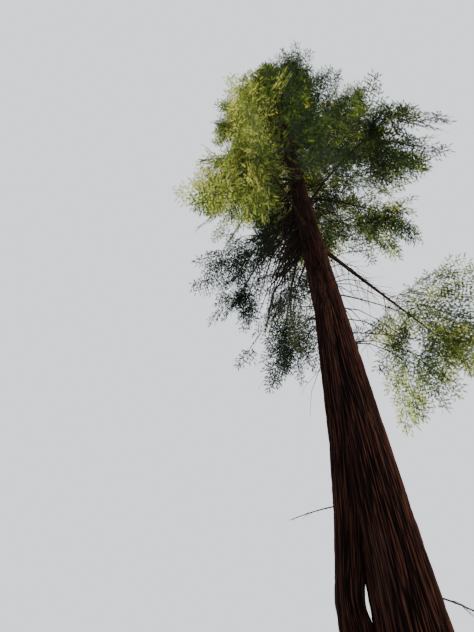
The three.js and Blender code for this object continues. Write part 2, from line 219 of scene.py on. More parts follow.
def end_tree(nodes, geometry, material):
    """Ends a tree with plain geometry in one material."""
    real = nodes.add("GeometryNodeRealizeInstances", {}, {"Geometry": geometry})
    coloured = nodes.add("GeometryNodeSetMaterial", {}, {"Geometry": real, "Material": material})
    end = nodes.tree.nodes.new("NodeGroupOutput")
    nodes.tree.links.new(coloured.socket, end.inputs["Geometry"])
    return nodes.tree


def grow(source, tree, values):
    """Gives an object the plain mesh that a tree makes of its own mesh."""
    modifier = source.modifiers.new(tree.name, "NODES")
    modifier.node_group = tree
    for item in tree.interface.items_tree:
        if item.in_out == "INPUT" and item.name in values:
            modifier[item.identifier] = values[item.name]
    evaluated = source.evaluated_get(bpy.context.evaluated_depsgraph_get())
    grown = bpy.data.meshes.new_from_object(evaluated)
    source.modifiers.remove(modifier)
    old = source.data
    source.data = grown
    bpy.data.meshes.remove(old)
    grown.name = source.name
    return source


def carried(nodes, name, kind="FLOAT_VECTOR"):
    """What a mesh's points carry under a name."""
    return nodes.add("GeometryNodeInputNamedAttribute", {"data_type": kind}, {"Name": name})


DRIFT_SCALE = 0.45  # of the slow noise that bends the ridges, in ridges
DRIFT_GAIN = 4
RIDGE_SHOULDER = 0.22  # a ridge rises over this much, from its edge
STRANDS_IN_RIDGE = 2.6
STRAND_SHOULDER = 0.3
RIDGE_SHARE = 0.66  # of the relief; the rest is its strands
UNMOVED = 0.78  # the bark moves in below this share of a ridge's height and out above it
DEPTH_SCALE = 0.3  # of the noise that makes some furrows deeper than others
LEAST_DEPTH = 0.45
MORE_DEPTH = 1.1
END_CORNERS = 3  # of the faces that close a tube's ends; those of its wall have more


def bark_relief_tree():
    """Moves a stem's surface into long ridges with furrows between, and keeps the ridges' mask."""
    sizes = ["Ridge width", "Ridge length", "Furrow share", "Wander"]
    inputs = {label: "NodeSocketFloat" for label in sizes}
    nodes, given = new_tree("bark relief", {**inputs, "Bark": "NodeSocketMaterial"})

    place = carried(nodes, "place")
    out = carried(nodes, "out")
    cell = nodes.add(
        "ShaderNodeCombineXYZ",
        {},
        {"X": given["Ridge width"], "Y": given["Ridge width"], "Z": given["Ridge length"]},
    )
    spread = nodes.add("ShaderNodeVectorMath", {"operation": "DIVIDE"}, {0: place, 1: cell})
    drift = nodes.add(
        "ShaderNodeTexNoise", {}, {"Vector": spread, "Scale": DRIFT_SCALE, "Detail": 1.0}, "Color"
    )
    centred = nodes.add("ShaderNodeVectorMath", {"operation": "SUBTRACT"}, {0: drift, 1: (0.5, 0.5, 0.5)})
    drifted = nodes.add(
        "ShaderNodeVectorMath",
        {"operation": "SCALE"},
        {"Vector": centred, "Scale": given["Wander"] * DRIFT_GAIN},
    )
    pattern = nodes.add("ShaderNodeVectorMath", {"operation": "ADD"}, {0: spread, 1: drifted})

    def cells(scale, shoulder):
        """Long cells that rise from their edges."""
        edge = nodes.add(
            "ShaderNodeTexVoronoi",
            {"feature": "DISTANCE_TO_EDGE"},
            {"Vector": pattern, "Scale": scale, "Randomness": 1.0},
            "Distance",
        )
        return nodes.add(
            "ShaderNodeMapRange",
            {"interpolation_type": "SMOOTHSTEP"},
            {"Value": edge, "From Min": 0.0, "From Max": shoulder},
        )

    broad = cells(1.0, RIDGE_SHOULDER)
    fine = cells(STRANDS_IN_RIDGE, STRAND_SHOULDER)
    ridge = broad * RIDGE_SHARE + fine * (1 - RIDGE_SHARE)
    uneven = nodes.add(
        "ShaderNodeTexNoise", {}, {"Vector": pattern, "Scale": DEPTH_SCALE, "Detail": 2.0}, "Fac"
    )

    flat = nodes.add("ShaderNodeVectorMath", {"operation": "MULTIPLY"}, {0: place, 1: (1.0, 1.0, 0.0)})
    girth = nodes.add("ShaderNodeVectorMath", {"operation": "LENGTH"}, {0: flat}, "Value")
    depth = given["Furrow share"] * girth * (LEAST_DEPTH + uneven * MORE_DEPTH)
    shift = nodes.add(
        "ShaderNodeVectorMath",
        {"operation": "SCALE"},
        {"Vector": out, "Scale": (ridge - UNMOVED) * depth},
    )

    marked = nodes.add(
        "GeometryNodeStoreNamedAttribute",
        {"data_type": "FLOAT", "domain": "POINT"},
        {"Geometry": given["Geometry"], "Name": "ridge", "Value": ridge},
    )
    moved = nodes.add("GeometryNodeSetPosition", {}, {"Geometry": marked, "Offset": shift})
    corners = nodes.add("GeometryNodeInputMeshFaceNeighbors", output="Vertex Count")
    wall = corners.math("GREATER_THAN", corners, END_CORNERS)
    smooth = nodes.add(
        "GeometryNodeSetShadeSmooth", {}, {"Geometry": moved, "Selection": wall, "Shade Smooth": True}
    )
    return end_tree(nodes, smooth, given["Bark"])


DULL_GLOSS = 0.05


def new_material(name, roughness, gloss=DULL_GLOSS):
    """A material, its nodes and its shader."""
    material = bpy.data.materials.new(name)
    material.use_nodes = True
    shader = material.node_tree.nodes["Principled BSDF"]
    shader.inputs["Roughness"].default_value = roughness
    shader.inputs["Specular IOR Level"].default_value = gloss
    return material, Nodes(material.node_tree), shader


BARK_ROUGHNESS = 0.95
FIBRE_SHAPE = (1, 1, 0.045)  # how often a fibre comes across, aside and along, for its width
PATCH_SHAPE = (2.2, 2.2, 0.45)  # and the weathered patches, for each metre
RIDGE_TONE = 0.78
FIBRE_TONE = 0.5
DARKER = 0.24
TONE_STOPS = (0.1, 0.45, 0.9)
WORN_BY_FIBRE = 0.3
WORN_FROM = 0.66
WORN_FULLY = 0.9
MOST_WORN = 0.35
BUMP_STRENGTH = 0.7
FIBRE_DEPTH = 0.35  # of its width


def bark_material(name, colours, weathered, fibre_width):
    """Fibrous bark: furrows darkened as painted shade, redder crests, fibres that run along the stem, and
    weathered patches.
    """
    material, nodes, shader = new_material(name, BARK_ROUGHNESS)
    place = nodes.add("ShaderNodeAttribute", {"attribute_name": "place"}, output="Vector")
    ridge = nodes.add("ShaderNodeAttribute", {"attribute_name": "ridge"}, output="Fac")
    along_fibres = tuple(often / fibre_width for often in FIBRE_SHAPE)
    stretched = nodes.add("ShaderNodeVectorMath", {"operation": "MULTIPLY"}, {0: place, 1: along_fibres})
    fibre = nodes.add("ShaderNodeTexNoise", {}, {"Vector": stretched, "Scale": 1.0, "Detail": 4.0}, "Fac")
    slow = nodes.add("ShaderNodeVectorMath", {"operation": "MULTIPLY"}, {0: place, 1: PATCH_SHAPE})
    patch = nodes.add("ShaderNodeTexNoise", {}, {"Vector": slow, "Scale": 1.0, "Detail": 3.0}, "Fac")

    # painted shade: the ridge mask and DARKER pull the tone towards the near-black first stop in the furrows
    tone = ridge * RIDGE_TONE + fibre * FIBRE_TONE - DARKER
    stops = list(zip(TONE_STOPS, colours))
    base = nodes.add("ShaderNodeValToRGB", {"stops": stops}, {"Fac": tone}, "Color")
    wear = patch + fibre * WORN_BY_FIBRE
    worn = nodes.add(
        "ShaderNodeMapRange",
        {"interpolation_type": "SMOOTHSTEP"},
        {"Value": wear, "From Min": WORN_FROM, "From Max": WORN_FULLY, "To Max": MOST_WORN},
    )
    colour = nodes.add(
        "ShaderNodeMix",
        {"data_type": "RGBA"},
        {"Factor_Float": worn * ridge, "A_Color": base, "B_Color": (*weathered, 1.0)},
        "Result_Color",
    )
    nodes.tree.links.new(colour.socket, shader.inputs["Base Color"])
    bump = nodes.add(
        "ShaderNodeBump",
        {},
        {"Strength": BUMP_STRENGTH, "Distance": fibre_width * FIBRE_DEPTH, "Height": fibre},
        "Normal",
    )
    nodes.tree.links.new(bump.socket, shader.inputs["Normal"])
    return material


# Painted shade: the bark is darker than its own red-brown, as in deep shade, and the furrows' first stop is
# near-black
SHADED_BARK_COLOURS = [(0.0012, 0.0005, 0.0005), (0.0078, 0.0031, 0.0024), (0.049, 0.0166, 0.0102)]
BARK_WEATHERED = (0.028, 0.018, 0.015)
BARK_FIBRE = 0.014

relief = bark_relief_tree()
stem_bark = bark_material("stem bark", SHADED_BARK_COLOURS, BARK_WEATHERED, BARK_FIBRE)


def upright_tube(heights, sides, axis, radius, splayed):
    """A stem of level rings, so that its foot is a flat cut."""
    level = np.ones((len(heights), 1))
    radii = radius(heights[:, None], round_angles(sides)[None, :])
    bark_radii = np.sqrt(np.minimum(radii.mean(axis=1), splayed) * RIDGED_RADIUS)
    made = tube(axis(heights), level * (1.0, 0.0, 0.0), level * (0.0, 1.0, 0.0), radii, bark_radii)
    made["place"][:, 2] = made["points"][:, 2]
    return made


for name, low, high, rings, sides in [
    ("trunk_lower", 0.0, TRUNK_JOIN, LOWER_RINGS, LOWER_SIDES),
    ("trunk_upper", TRUNK_JOIN, TRUNK_TOP, UPPER_RINGS, UPPER_SIDES),
]:
    heights = np.linspace(low, high, rings + 1)
    made = upright_tube(heights, sides, trunk_axis, buttressed_radius, SPLAYED_RADIUS)
    trunk_length = grow(joined_tubes(name, [made]), relief, {**STEM_RIDGES, "Bark": stem_bark})
    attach(trunk_length, "root")
    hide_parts("trunk")


# Side stem: the slimmer of the two stems from one root, of the same wood and bark. It stands left of the
# trunk with a slit of light between, closes on the trunk's front, and dies into it below the crown.
STEM_TOP = 12.3
STEM_HEIGHTS = [0.0, 1.2, 2.6, 3.4, 4.15, 5.3, 6.7, 8.4, 10.3, STEM_TOP]
STEM_AWAY = [1.03, 0.925, 0.785, 0.722, 0.735, 0.55, 0.42, 0.38, 0.345, 0.215]
STEM_TURN = [4, 5, 6, 7, 9, 16, 30, 49, 69, 84]
STEM_RADIUS = [0.35, 0.255, 0.215, 0.208, 0.205, 0.212, 0.212, 0.21, 0.205, 0.12]
STEM_RINGS = 230
STEM_SIDES = 190
STEM_SPLAYED = 0.22
STEM_SWELLING = 0.05  # its bark swells towards the trunk where the two touch, all but at the slit
SLIT_HEIGHT = 4.17
SLIT_HALF_LENGTH = 0.29


def stem_axis(height):
    turn = np.radians(np.interp(height, STEM_HEIGHTS, STEM_TURN))
    away = np.interp(height, STEM_HEIGHTS, STEM_AWAY)
    return trunk_axis(height) + np.stack([-away * np.cos(turn), -away * np.sin(turn), 0 * turn], -1)


def stem_radius(height, angle):
    towards_trunk = np.cos(angle - np.radians(np.interp(height, STEM_HEIGHTS, STEM_TURN)))
    touching = 1 - np.exp(-(((height - SLIT_HEIGHT) / SLIT_HALF_LENGTH) ** 4))
    swelling = STEM_SWELLING * touching * np.maximum(0, towards_trunk) ** 2
    return np.interp(height, STEM_HEIGHTS, STEM_RADIUS) + swelling


side_heights = np.linspace(0.0, STEM_TOP, STEM_RINGS + 1)
side_tube = upright_tube(side_heights, STEM_SIDES, stem_axis, stem_radius, STEM_SPLAYED)
side_stem = grow(joined_tubes("side_stem_bark", [side_tube]), relief, {**STEM_RIDGES, "Bark": stem_bark})
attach(side_stem, "root")
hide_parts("side_stem")


# Boughs: the live limbs of the crown, in thin scaly bark. Each leaves the trunk level or rising, sags
# outwards and runs on to its tip. Some stand where they show one by one, the others each at the emptiest of
# some random places, as in the solid model; smaller ones stand between, off the trunk's shown side.
SEED = 1907
CLEAR = 0.0003
CROWN_FOOT = 13.6
CROWN_REACH = 3.8
CROWN_FULLNESS = 1.55
SEEN_BOUGHS = [
    {"height": 14.55, "bearing": 27, "reach": 5.4, "droop": 15, "bare": 0.48, "radius": 0.078},
    {"height": 16.3, "bearing": -27, "reach": 4.6, "droop": 12, "bare": 0.4, "radius": 0.062},
    {"height": 17.35, "bearing": -58, "reach": 4.0, "droop": 14, "bare": 0.4, "radius": 0.064},
    {"height": 17.9, "bearing": 62, "reach": 3.4, "droop": 10, "bare": 0.38, "radius": 0.05},
    {"height": 19.95, "bearing": -105, "reach": 3.6, "droop": 7, "bare": 0.42, "radius": 0.054},
    {"height": 19.7, "bearing": 112, "reach": 3.2, "droop": 8, "bare": 0.38, "radius": 0.048},
    {"height": 23.5, "bearing": -168, "reach": 3.3, "droop": 10, "bare": 0.4, "radius": 0.044},
]
FILLED_BOUGHS = 23
FILLED_FROM = 15.0
FILLED_TO = 36.9
TRIES = 60
FOLIAGE_MIDDLE = 0.7
ROOM_MARGIN = 1.5
BARE_BOUGHS_TO = 25.5
DROOP_FROM = 16
DROOP_TO = -18
DROOP_SPREAD = 4
REACH_TRIED = (0.85, 1.1)
REACH_MORE = 0.4
BARE_TRIED = (0.24, 0.36)
RADIUS_LEAST = 0.02
RADIUS_BY_REACH = 0.0095
SWEEP_TRIED = 0.15
RISE_TRIED = (0.12, 0.3)
SEEN_SWEEP = 0.12
SEEN_RISE = 0.12
BOUGH_TIP = 0.62
MASS_STEM_TIP = 0.25
LINE_STEPS = 12
UP = np.array([0.0, 0.0, 1.0])


def seeded(seed):
    """The solid model's own number generator, so that both grow the same tree."""
    state = seed

    def draw():
        nonlocal state
        state = (state * 1664525 + 1013904223) % 2**32
        return state / 2**32

    return draw


def between(random, low, high):
    return low + (high - low) * random()


def lerp(a, b, share):
    return a + (b - a) * share


def unit(vectors):
    return vectors / np.linalg.norm(vectors, axis=-1, keepdims=True)


def heading(bearing):
    """The level way at a bearing, clockwise from +Y as seen from above."""
    return np.array([math.sin(math.radians(bearing)), math.cos(math.radians(bearing)), 0.0])


def bough_path(bough):
    """A bough's line, as a function of the share along it."""
    start = trunk_axis(bough["height"])
    out = heading(bough["bearing"]) * bough["reach"]
    aside = heading(bough["bearing"] + 90) * bough["sweep"] * bough["reach"]
    fall = math.tan(math.radians(bough["droop"])) * bough["reach"]
    lift = bough["rise"] * bough["reach"]

    def path(share):
        share = np.asarray(share, float)[..., None]
        return start + out * share + aside * share**2 + UP * (lift * share - (fall + lift) * share**2)

    return path


def crown_reach(height):
    share = max(0.0, (height - CROWN_FOOT) / (HEIGHT - CROWN_FOOT))
    return CROWN_REACH * (1 - share**CROWN_FULLNESS)


def droop_at(height, random):
    share = (height - FILLED_FROM) / (FILLED_TO - FILLED_FROM)
    return lerp(DROOP_FROM, DROOP_TO, share) + between(random, -DROOP_SPREAD, DROOP_SPREAD)


def try_bough(random):
    height = between(random, FILLED_FROM, FILLED_TO)
    reach = crown_reach(height) * between(random, *REACH_TRIED) + REACH_MORE
    return {
        "height": height,
        "reach": reach,
        "bearing": between(random, 0, 360),
        "droop": droop_at(height, random),
        "bare": between(random, *BARE_TRIED),
        "radius": RADIUS_LEAST + reach * RADIUS_BY_REACH,
        "sweep": between(random, -SWEEP_TRIED, SWEEP_TRIED),
        "rise": between(random, *RISE_TRIED),
    }


def with_middle(bough):
    return {**bough, "middle": bough_path(bough)(FOLIAGE_MIDDLE)}


def room_for(bough, others):
    """How far a bough's foliage stands from its nearest neighbour's, for their sizes."""
    return min(
        math.dist(other["middle"], bough["middle"]) / (other["reach"] + bough["reach"] + ROOM_MARGIN)
        for other in others
    )


def all_boughs():
    random = seeded(SEED)
    found = []
    for bough in SEEN_BOUGHS:
        sweep = between(random, -SEEN_SWEEP, SEEN_SWEEP)
        found.append(with_middle({**bough, "sweep": sweep, "rise": SEEN_RISE}))
    for _ in range(FILLED_BOUGHS):
        tries = [with_middle(try_bough(random)) for _ in range(TRIES)]
        found.append(max(tries, key=lambda bough: room_for(bough, found)))
    found.sort(key=lambda bough: bough["height"])
    for bough in found:
        bough["path"] = bough_path(bough)
        bough["has_limb"] = bough["height"] < BARE_BOUGHS_TO
        bough["bare"] = bough["bare"] if bough["has_limb"] else 0.0
        bough["tip_radius"] = bough["radius"] * (BOUGH_TIP if bough["has_limb"] else 1)
        bough["line"] = bough["path"](np.linspace(0, 1, LINE_STEPS + 1))
    return found


SMALL_BOUGHS = 116
SMALL_FROM = 17.0
SMALL_TO = 38.4
SMALL_REACH = (0.45, 0.78)
SMALL_REACH_MORE = 0.3
SMALL_BARE = (0.12, 0.26)
LESS_BARE_ABOVE = 0.3  # above the trunk's shown length, of the bare part so much is left
SMALL_RADIUS = 0.013
SHOWN_SIDE = 179  # the bearing from which the trunk shows, this far to each side and up to this height
SHOWN_SPREAD = 52
SHOWN_TO = 26.0
LIMBS_SHOWN_SPREAD = 105  # and the lowest limbs too
LIMBS_SHOWN_TO = 18.5


def try_small_bough(random):
    bough = try_bough(random)
    bough["height"] = between(random, SMALL_FROM, SMALL_TO)
    bough["droop"] = droop_at(bough["height"], random)
    bough["reach"] = crown_reach(bough["height"]) * between(random, *SMALL_REACH) + SMALL_REACH_MORE
    bough["radius"] = SMALL_RADIUS + bough["reach"] * RADIUS_BY_REACH
    bough["bare"] = between(random, *SMALL_BARE) * (1 if bough["height"] < SHOWN_TO else LESS_BARE_ABOVE)
    if bough["height"] < SHOWN_TO:
        apart = SHOWN_SPREAD if bough["height"] > LIMBS_SHOWN_TO else LIMBS_SHOWN_SPREAD
        bough["bearing"] = SHOWN_SIDE + between(random, apart, 360 - apart)
    return bough


def small_boughs_among(others):
    """The smaller boughs, each at the emptiest of some random places among all the others."""
    random = seeded(SEED + 1)
    placed = list(others)
    for _ in range(SMALL_BOUGHS):
        tries = [with_middle(try_small_bough(random)) for _ in range(TRIES)]
        placed.append(max(tries, key=lambda bough: room_for(bough, placed)))
    small = placed[len(others):]
    for bough in small:
        bough["path"] = bough_path(bough)
        bough["tip_radius"] = bough["radius"] * BOUGH_TIP
    return small


CURVE_STEP = 0.01
BOUGH_RINGS = 56
BOUGH_SIDES = 16
SMALL_RINGS = 16
SMALL_SIDES = 8
BOUGH_COLLAR = 0.35  # a bough is this much thicker where it leaves the trunk
BOUGH_COLLAR_LENGTH = 0.3
BOUGH_RIDGES = {"Ridge width": 0.03, "Ridge length": 0.22, "Furrow share": 0.09, "Wander": 0.4}
# painted shade: the first stop is the darkened furrows between the ridges
BOUGH_BARK_COLOURS = [(0.006, 0.0035, 0.0025), (0.025, 0.013, 0.0085), (0.075, 0.04, 0.025)]
BOUGH_FIBRE = 0.006


def limb_tube(path, shares, radii, sides):
    """A tube along a curve, whose rings stand square to it."""
    centres = path(shares)
    ahead = unit(path(shares + CURVE_STEP) - path(shares - CURVE_STEP))
    across = unit(np.cross(ahead, UP))
    rings = np.repeat(radii[:, None], sides, axis=1)
    return tube(centres, across, np.cross(across, ahead) * -1, rings, radii)


def bough_radii(bough, shares):
    """A bough tapers to its foliage, and its stem there on to the tip."""
    limb = lerp(bough["radius"], bough["tip_radius"], np.clip(shares / max(bough["bare"], 1e-6), 0, 1))
    beyond = np.clip((shares - bough["bare"]) / (1 - bough["bare"]), 0, 1)
    collar = 1 + BOUGH_COLLAR * np.exp(-shares * bough["reach"] / BOUGH_COLLAR_LENGTH)
    return limb * (1 - (1 - MASS_STEM_TIP) * beyond) * collar


boughs = all_boughs()
small_boughs = small_boughs_among(boughs)
bough_shares = np.linspace(0, 1, BOUGH_RINGS + 1)
small_shares = np.linspace(0, 1, SMALL_RINGS + 1)
bough_limbs = joined_tubes(
    "boughs",
    [limb_tube(b["path"], bough_shares, bough_radii(b, bough_shares), BOUGH_SIDES) for b in boughs]
    + [limb_tube(b["path"], small_shares, bough_radii(b, small_shares), SMALL_SIDES) for b in small_boughs],
)
bough_bark = bark_material("bough bark", BOUGH_BARK_COLOURS, BARK_WEATHERED, BOUGH_FIBRE)
grow(bough_limbs, relief, {**BOUGH_RIDGES, "Bark": bough_bark})
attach(bough_limbs, "root")
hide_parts(*[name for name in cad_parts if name.startswith("bough_")])


# Twigs: thin brown shoots that carry the needles. They stand round each bough's stem by the golden turn, as
# in the solid model, each in its own bough's space. Where the solid has a blade, the twig runs on as the
# middle of a flat spray, with finer twigs to left and right.
GOLDEN_TURN = 137.5
STEM_SEGMENTS = 3
TWIGS = 15
TWIG_THICK = 0.32
AXIS_STEP = 0.02
TWIG_LENGTH = 0.25
TWIG_LENGTH_BY_REACH = 0.36
TWIG_SHORTENING = 0.55
LAST_TWIG = 0.97
FIRST_TWIG_ON_BOUGH = 0.1
FIRST_TWIG_ON_TRUNK = 0.34
TWIG_SPREAD = (0.75, 1.15)
ROLL_SPREAD = 25
TWIG_OPENING = (42, 66)
TWIG_DROOP = (0.1, 0.34)
SIDE_SPRAY_TURN = (40, 70)
SIDE_SPRAY_PLACE = (0.4, 0.8)
SIDE_SPRAY_DROOP = 0.8
SPRAY_LENGTH = 0.6
SPRAY_LENGTH_BY_REACH = 0.3
SPRAY_SPREAD = (0.8, 1.2)
SPRAY_TILT = 75
SPRAY_OUTLINE = np.array([[0.5, -0.46], [0.7, -0.22], [1, 0.02], [0.62, 0.2], [0.36, 0.46]])
SPRAY_THICK = 0.045
SIDE_SPRAY_STALK = 0.3  # as thick as this share of its twig
STEM_GAP = 0.03
SHOWN_WIDTH = 0.42  # half of how wide the crown stays open before the trunk's shown length
SPACE_MARGIN = 0.09
LIMB_MARGIN = 0.045
REACH_MARGIN = 0.55
REACH_SPREAD = 1.03
BARE_LINE_STEPS = 4
BARE_LINE_SHARE = 0.87
GOES = 9
SHORTER_EACH_GO = 0.08
LEADER = {
    "bare": 0.0,
    "tip_radius": 0.038,
    "limit": 1.0,
    "spray_size": 0.85,
    "twig_length": 0.85,
    "first_twig": 0.06,
}


def leader_path(share):
    foot = TRUNK_TOP + CLEAR
    return trunk_axis(foot + (HEIGHT - foot) * np.asarray(share, float))


def set_sizes(bough, reach_margin, first_twig):
    """How far a bough's foliage may reach, how long its sprays and twigs are, and where they start."""
    bough["limit"] = bough["reach"] * REACH_SPREAD + reach_margin
    bough["spray_size"] = SPRAY_LENGTH + bough["reach"] * SPRAY_LENGTH_BY_REACH
    bough["twig_length"] = TWIG_LENGTH + bough["reach"] * TWIG_LENGTH_BY_REACH
    bough["first_twig"] = first_twig


for bough in boughs:
    set_sizes(bough, REACH_MARGIN, FIRST_TWIG_ON_BOUGH if bough["has_limb"] else FIRST_TWIG_ON_TRUNK)
    if bough["has_limb"]:
        bare_shares = bough["bare"] * BARE_LINE_SHARE * np.arange(BARE_LINE_STEPS + 1) / BARE_LINE_STEPS
        bough["bare_line"] = bough["path"](bare_shares)
        bough["bare"] += CLEAR / bough["reach"]
leader = {**LEADER, "path": leader_path, "line": leader_path(np.array([0, 1]))}
masses = [*boughs, leader]
all_starts = np.concatenate([mass["line"][:-1] for mass in masses])
all_ends = np.concatenate([mass["line"][1:] for mass in masses])
first_segments = np.cumsum([0] + [len(mass["line"]) - 1 for mass in masses[:-1]])


def segment_distances(points, starts, ends):
    """How far each point is from each straight segment."""
    run = ends - starts
    share = np.einsum("psk,sk->ps", points[:, None] - starts, run) / (run * run).sum(axis=1)
    nearest = starts + np.clip(share, 0, 1)[..., None] * run
    return np.linalg.norm(points[:, None] - nearest, axis=-1)


def in_space(points, index):
    """True if all points are nearest to their own mass's line and stay clear of the trunk and the bough."""
    mass = masses[index]
    axis = trunk_axis(np.minimum(points[:, 2], TRUNK_TOP))
    from_trunk = np.hypot(points[:, 0] - axis[:, 0], points[:, 1] - axis[:, 1])
    if (points[:, 2] > HEIGHT).any() or (from_trunk > mass["limit"]).any():
        return False
    beside = points[:, 2] < TRUNK_TOP
    if (from_trunk[beside] < trunk_radius(points[beside, 2]) + LIMB_MARGIN).any():
        return False
    if mass.get("small"):
        return True
    if "bare_line" in mass:
        line = mass["bare_line"]
        if segment_distances(points, line[:-1], line[1:]).min() < mass["radius"] + LIMB_MARGIN:
            return False
    distances = np.minimum.reduceat(segment_distances(points, all_starts, all_ends), first_segments, axis=1)
    own = distances[:, index].copy()
    distances[:, index] = np.inf
    return bool((distances.min(axis=1) > own + SPACE_MARGIN).all())


def stand_apart(a, b, axes, gap):
    """True if, seen along one of some directions, one set of points ends before the other begins."""
    axes = np.concatenate([axes, unit(b.mean(axis=0) - a.mean(axis=0))[None]])
    p = a @ axes.T
    q = b @ axes.T
    return bool(((p.max(0) + gap < q.min(0)) | (q.max(0) + gap < p.min(0))).any())


def clear_of(blade, other, parent):
    """True if a spray and its stalk cross neither another spray nor its stalk, unless they grow from it."""
    gap, other_gap = (one["length"] * SPRAY_THICK / 2 for one in (blade, other))
    both = np.concatenate([blade["axes"], other["axes"]])
    if not stand_apart(blade["corners"], other["corners"], both, gap + other_gap):
        return False
    stalk = blade["stalk"]
    if stalk is not None and not stand_apart(stalk, other["corners"], other["axes"], other_gap):
        return False
    if other["stalk"] is None or other is parent:
        return True
    return stand_apart(blade["corners"], other["stalk"], blade["axes"], gap)


def turned(vector, about, degrees):
    """A vector turned about a unit vector."""
    angle = math.radians(degrees)
    kept = about * (about @ vector)
    return kept + (vector - kept) * math.cos(angle) + np.cross(about, vector) * math.sin(angle)


def before_trunk(points):
    """True for each point that stands before the length of trunk that the photograph shows."""
    from_axis = points - trunk_axis(points[:, 2])
    beside = np.abs(from_axis @ heading(SHOWN_SIDE + 90)) < SHOWN_WIDTH
    return beside & (from_axis @ heading(SHOWN_SIDE) > 0) & (points[:, 2] < SHOWN_TO)


def set_blade(index, random, root, along, stalk, length, thick, parent=None, crowded=False):
    """Sets a flat spray at the end of a stalk if it keeps to its mass's space, and apart from the others."""
    mass = masses[index]
    side = turned(unit(np.cross(along, UP)), along, between(random, -SPRAY_TILT, SPRAY_TILT))
    flat = unit(np.cross(along, side))
    neck = root + along * stalk
    blade = {
        "along": along,
        "side": side,
        "flat": flat,
        "axes": np.stack([along, side, flat]),
        "neck": neck,
        "stalk": np.stack([root, neck]) if stalk else None,
        "length": length,
        "thick": thick,
        "corners": neck + SPRAY_OUTLINE[:, :1] * length * along + SPRAY_OUTLINE[:, 1:] * length * side,
    }
    if not in_space(np.concatenate([blade["corners"], neck[None]]), index):
        return None
    if crowded:
        if before_trunk(blade["corners"]).any():
            return None
    elif not all(clear_of(blade, other, parent) for other in mass["blades"]):
        return None
    elif not all(stand_apart(blade["corners"], run, blade["axes"], STEM_GAP) for run in mass["stem"]):
        return None
    mass["blades"].append(blade)
    return blade


def set_twig(index, random, root, way, length, thick, spray_scale, crowded):
    """Sets a twig with the spray at its tip and, where there is room, one at its side."""
    size = masses[index]["spray_size"] * between(random, *SPRAY_SPREAD) * spray_scale
    main = set_blade(index, random, root, way, length, size, thick, None, crowded)
    if main is None:
        return False
    square = np.cross(unit(np.cross(way, UP)), way)
    beside = None
    for k in range(GOES):
        turn = (1 if random() < 0.5 else -1) * between(random, *SIDE_SPRAY_TURN)
        along = turned(way, square, turn)
        along = unit(along - UP * between(random, 0, SIDE_SPRAY_DROOP))
        share = between(random, *SIDE_SPRAY_PLACE)
        shorter = size * (1 - SHORTER_EACH_GO * k)
        beside_root = root + way * length * share
        stalk_thick = thick * SIDE_SPRAY_STALK
        beside = set_blade(index, random, beside_root, along, 0.0, shorter, stalk_thick, main, crowded)
        if beside:
            beside["on"] = (main, share)
            break
    return True


def stem_runs(path, start):
    """The straight runs that stand for a mass's stem, and their axis by the share along it."""
    corners = path(lerp(start, 1, np.arange(STEM_SEGMENTS + 1) / STEM_SEGMENTS))

    def axis(share):
        k = min(STEM_SEGMENTS - 1, max(0, math.floor(share * STEM_SEGMENTS)))
        return lerp(corners[k], corners[k + 1], share * STEM_SEGMENTS - k)

    return np.stack([corners[:-1], corners[1:]], axis=1), axis


def set_twigs(index, random, shares, first_number, twig_scale=1, spray_scale=1, crowded=False):
    """Sets twigs at these shares along a mass's stem, round it by the golden turn."""
    mass = masses[index]
    axis = mass["axis"]
    for i, share in enumerate(shares, first_number):
        thick = mass["tip_radius"] * (1 - (1 - MASS_STEM_TIP) * share) * TWIG_THICK
        ahead = unit(axis(share + AXIS_STEP) - axis(share - AXIS_STEP))
        across = unit(np.cross(ahead, UP))
        for k in range(GOES):
            roll = GOLDEN_TURN * i + between(random, -ROLL_SPREAD, ROLL_SPREAD) * (1 + k)
            opening = math.radians(between(random, *TWIG_OPENING) * (1 - share / 2))
            way = turned(across, ahead, roll) * math.sin(opening) + ahead * math.cos(opening)
            way = unit(way - UP * between(random, *TWIG_DROOP))
            full = mass["twig_length"] * (1 - TWIG_SHORTENING * share) * between(random, *TWIG_SPREAD)
            first = len(mass["blades"])
            length = full * (1 - SHORTER_EACH_GO * k) * twig_scale
            if set_twig(index, random, axis(share), way, length, thick * spray_scale, spray_scale, crowded):
                mass["blades"][first]["foot"] = mass["path"](lerp(mass["bare"], 1, share))
                break


# First the solid model's own twigs, then the smaller boughs and further twigs between, which may cross
SEED_STEP = 97
for index, mass in enumerate(masses):
    random = seeded(SEED + SEED_STEP * (index + 1))
    mass["blades"] = []
    mass["stem"], mass["axis"] = stem_runs(mass["path"], mass["bare"])
    set_twigs(index, random, lerp(mass["first_twig"], LAST_TWIG, np.arange(TWIGS) / (TWIGS - 1)), 0)

FINER_TWIGS = 8.2  # for each metre of a mass's stem
FINER_TWIG_SCALE = (0.5, 1.7)
FINER_SPRAY_SCALE = (0.4, 0.6)
FINER_LIMIT = 0.94
GOLDEN_SHARE = 0.618
for bough in small_boughs:
    bough["small"] = True
    set_sizes(bough, REACH_MARGIN / 2, 0.0)
    bough["blades"] = []
    bough["stem"], bough["axis"] = stem_runs(bough["path"], bough["bare"])
masses += small_boughs
for index, mass in enumerate(masses):
    mass["limit"] *= FINER_LIMIT
    random = seeded(SEED + SEED_STEP * (index + 1) + 1)
    stem_length = np.linalg.norm(mass["stem"][:, 1] - mass["stem"][:, 0], axis=-1).sum()
    for i in range(round(FINER_TWIGS * stem_length)):
        share = lerp(mass["first_twig"], LAST_TWIG, (i * GOLDEN_SHARE) % 1)
        scales = between(random, *FINER_TWIG_SCALE), between(random, *FINER_SPRAY_SCALE)
        set_twigs(index, random, [share], TWIGS + i, *scales, crowded=True)
blades = [blade for mass in masses for blade in mass["blades"]]
for blade in blades:
    if "on" in blade:
        main, share = blade["on"]
        blade["foot"] = lerp(main["foot"], main["neck"], share)

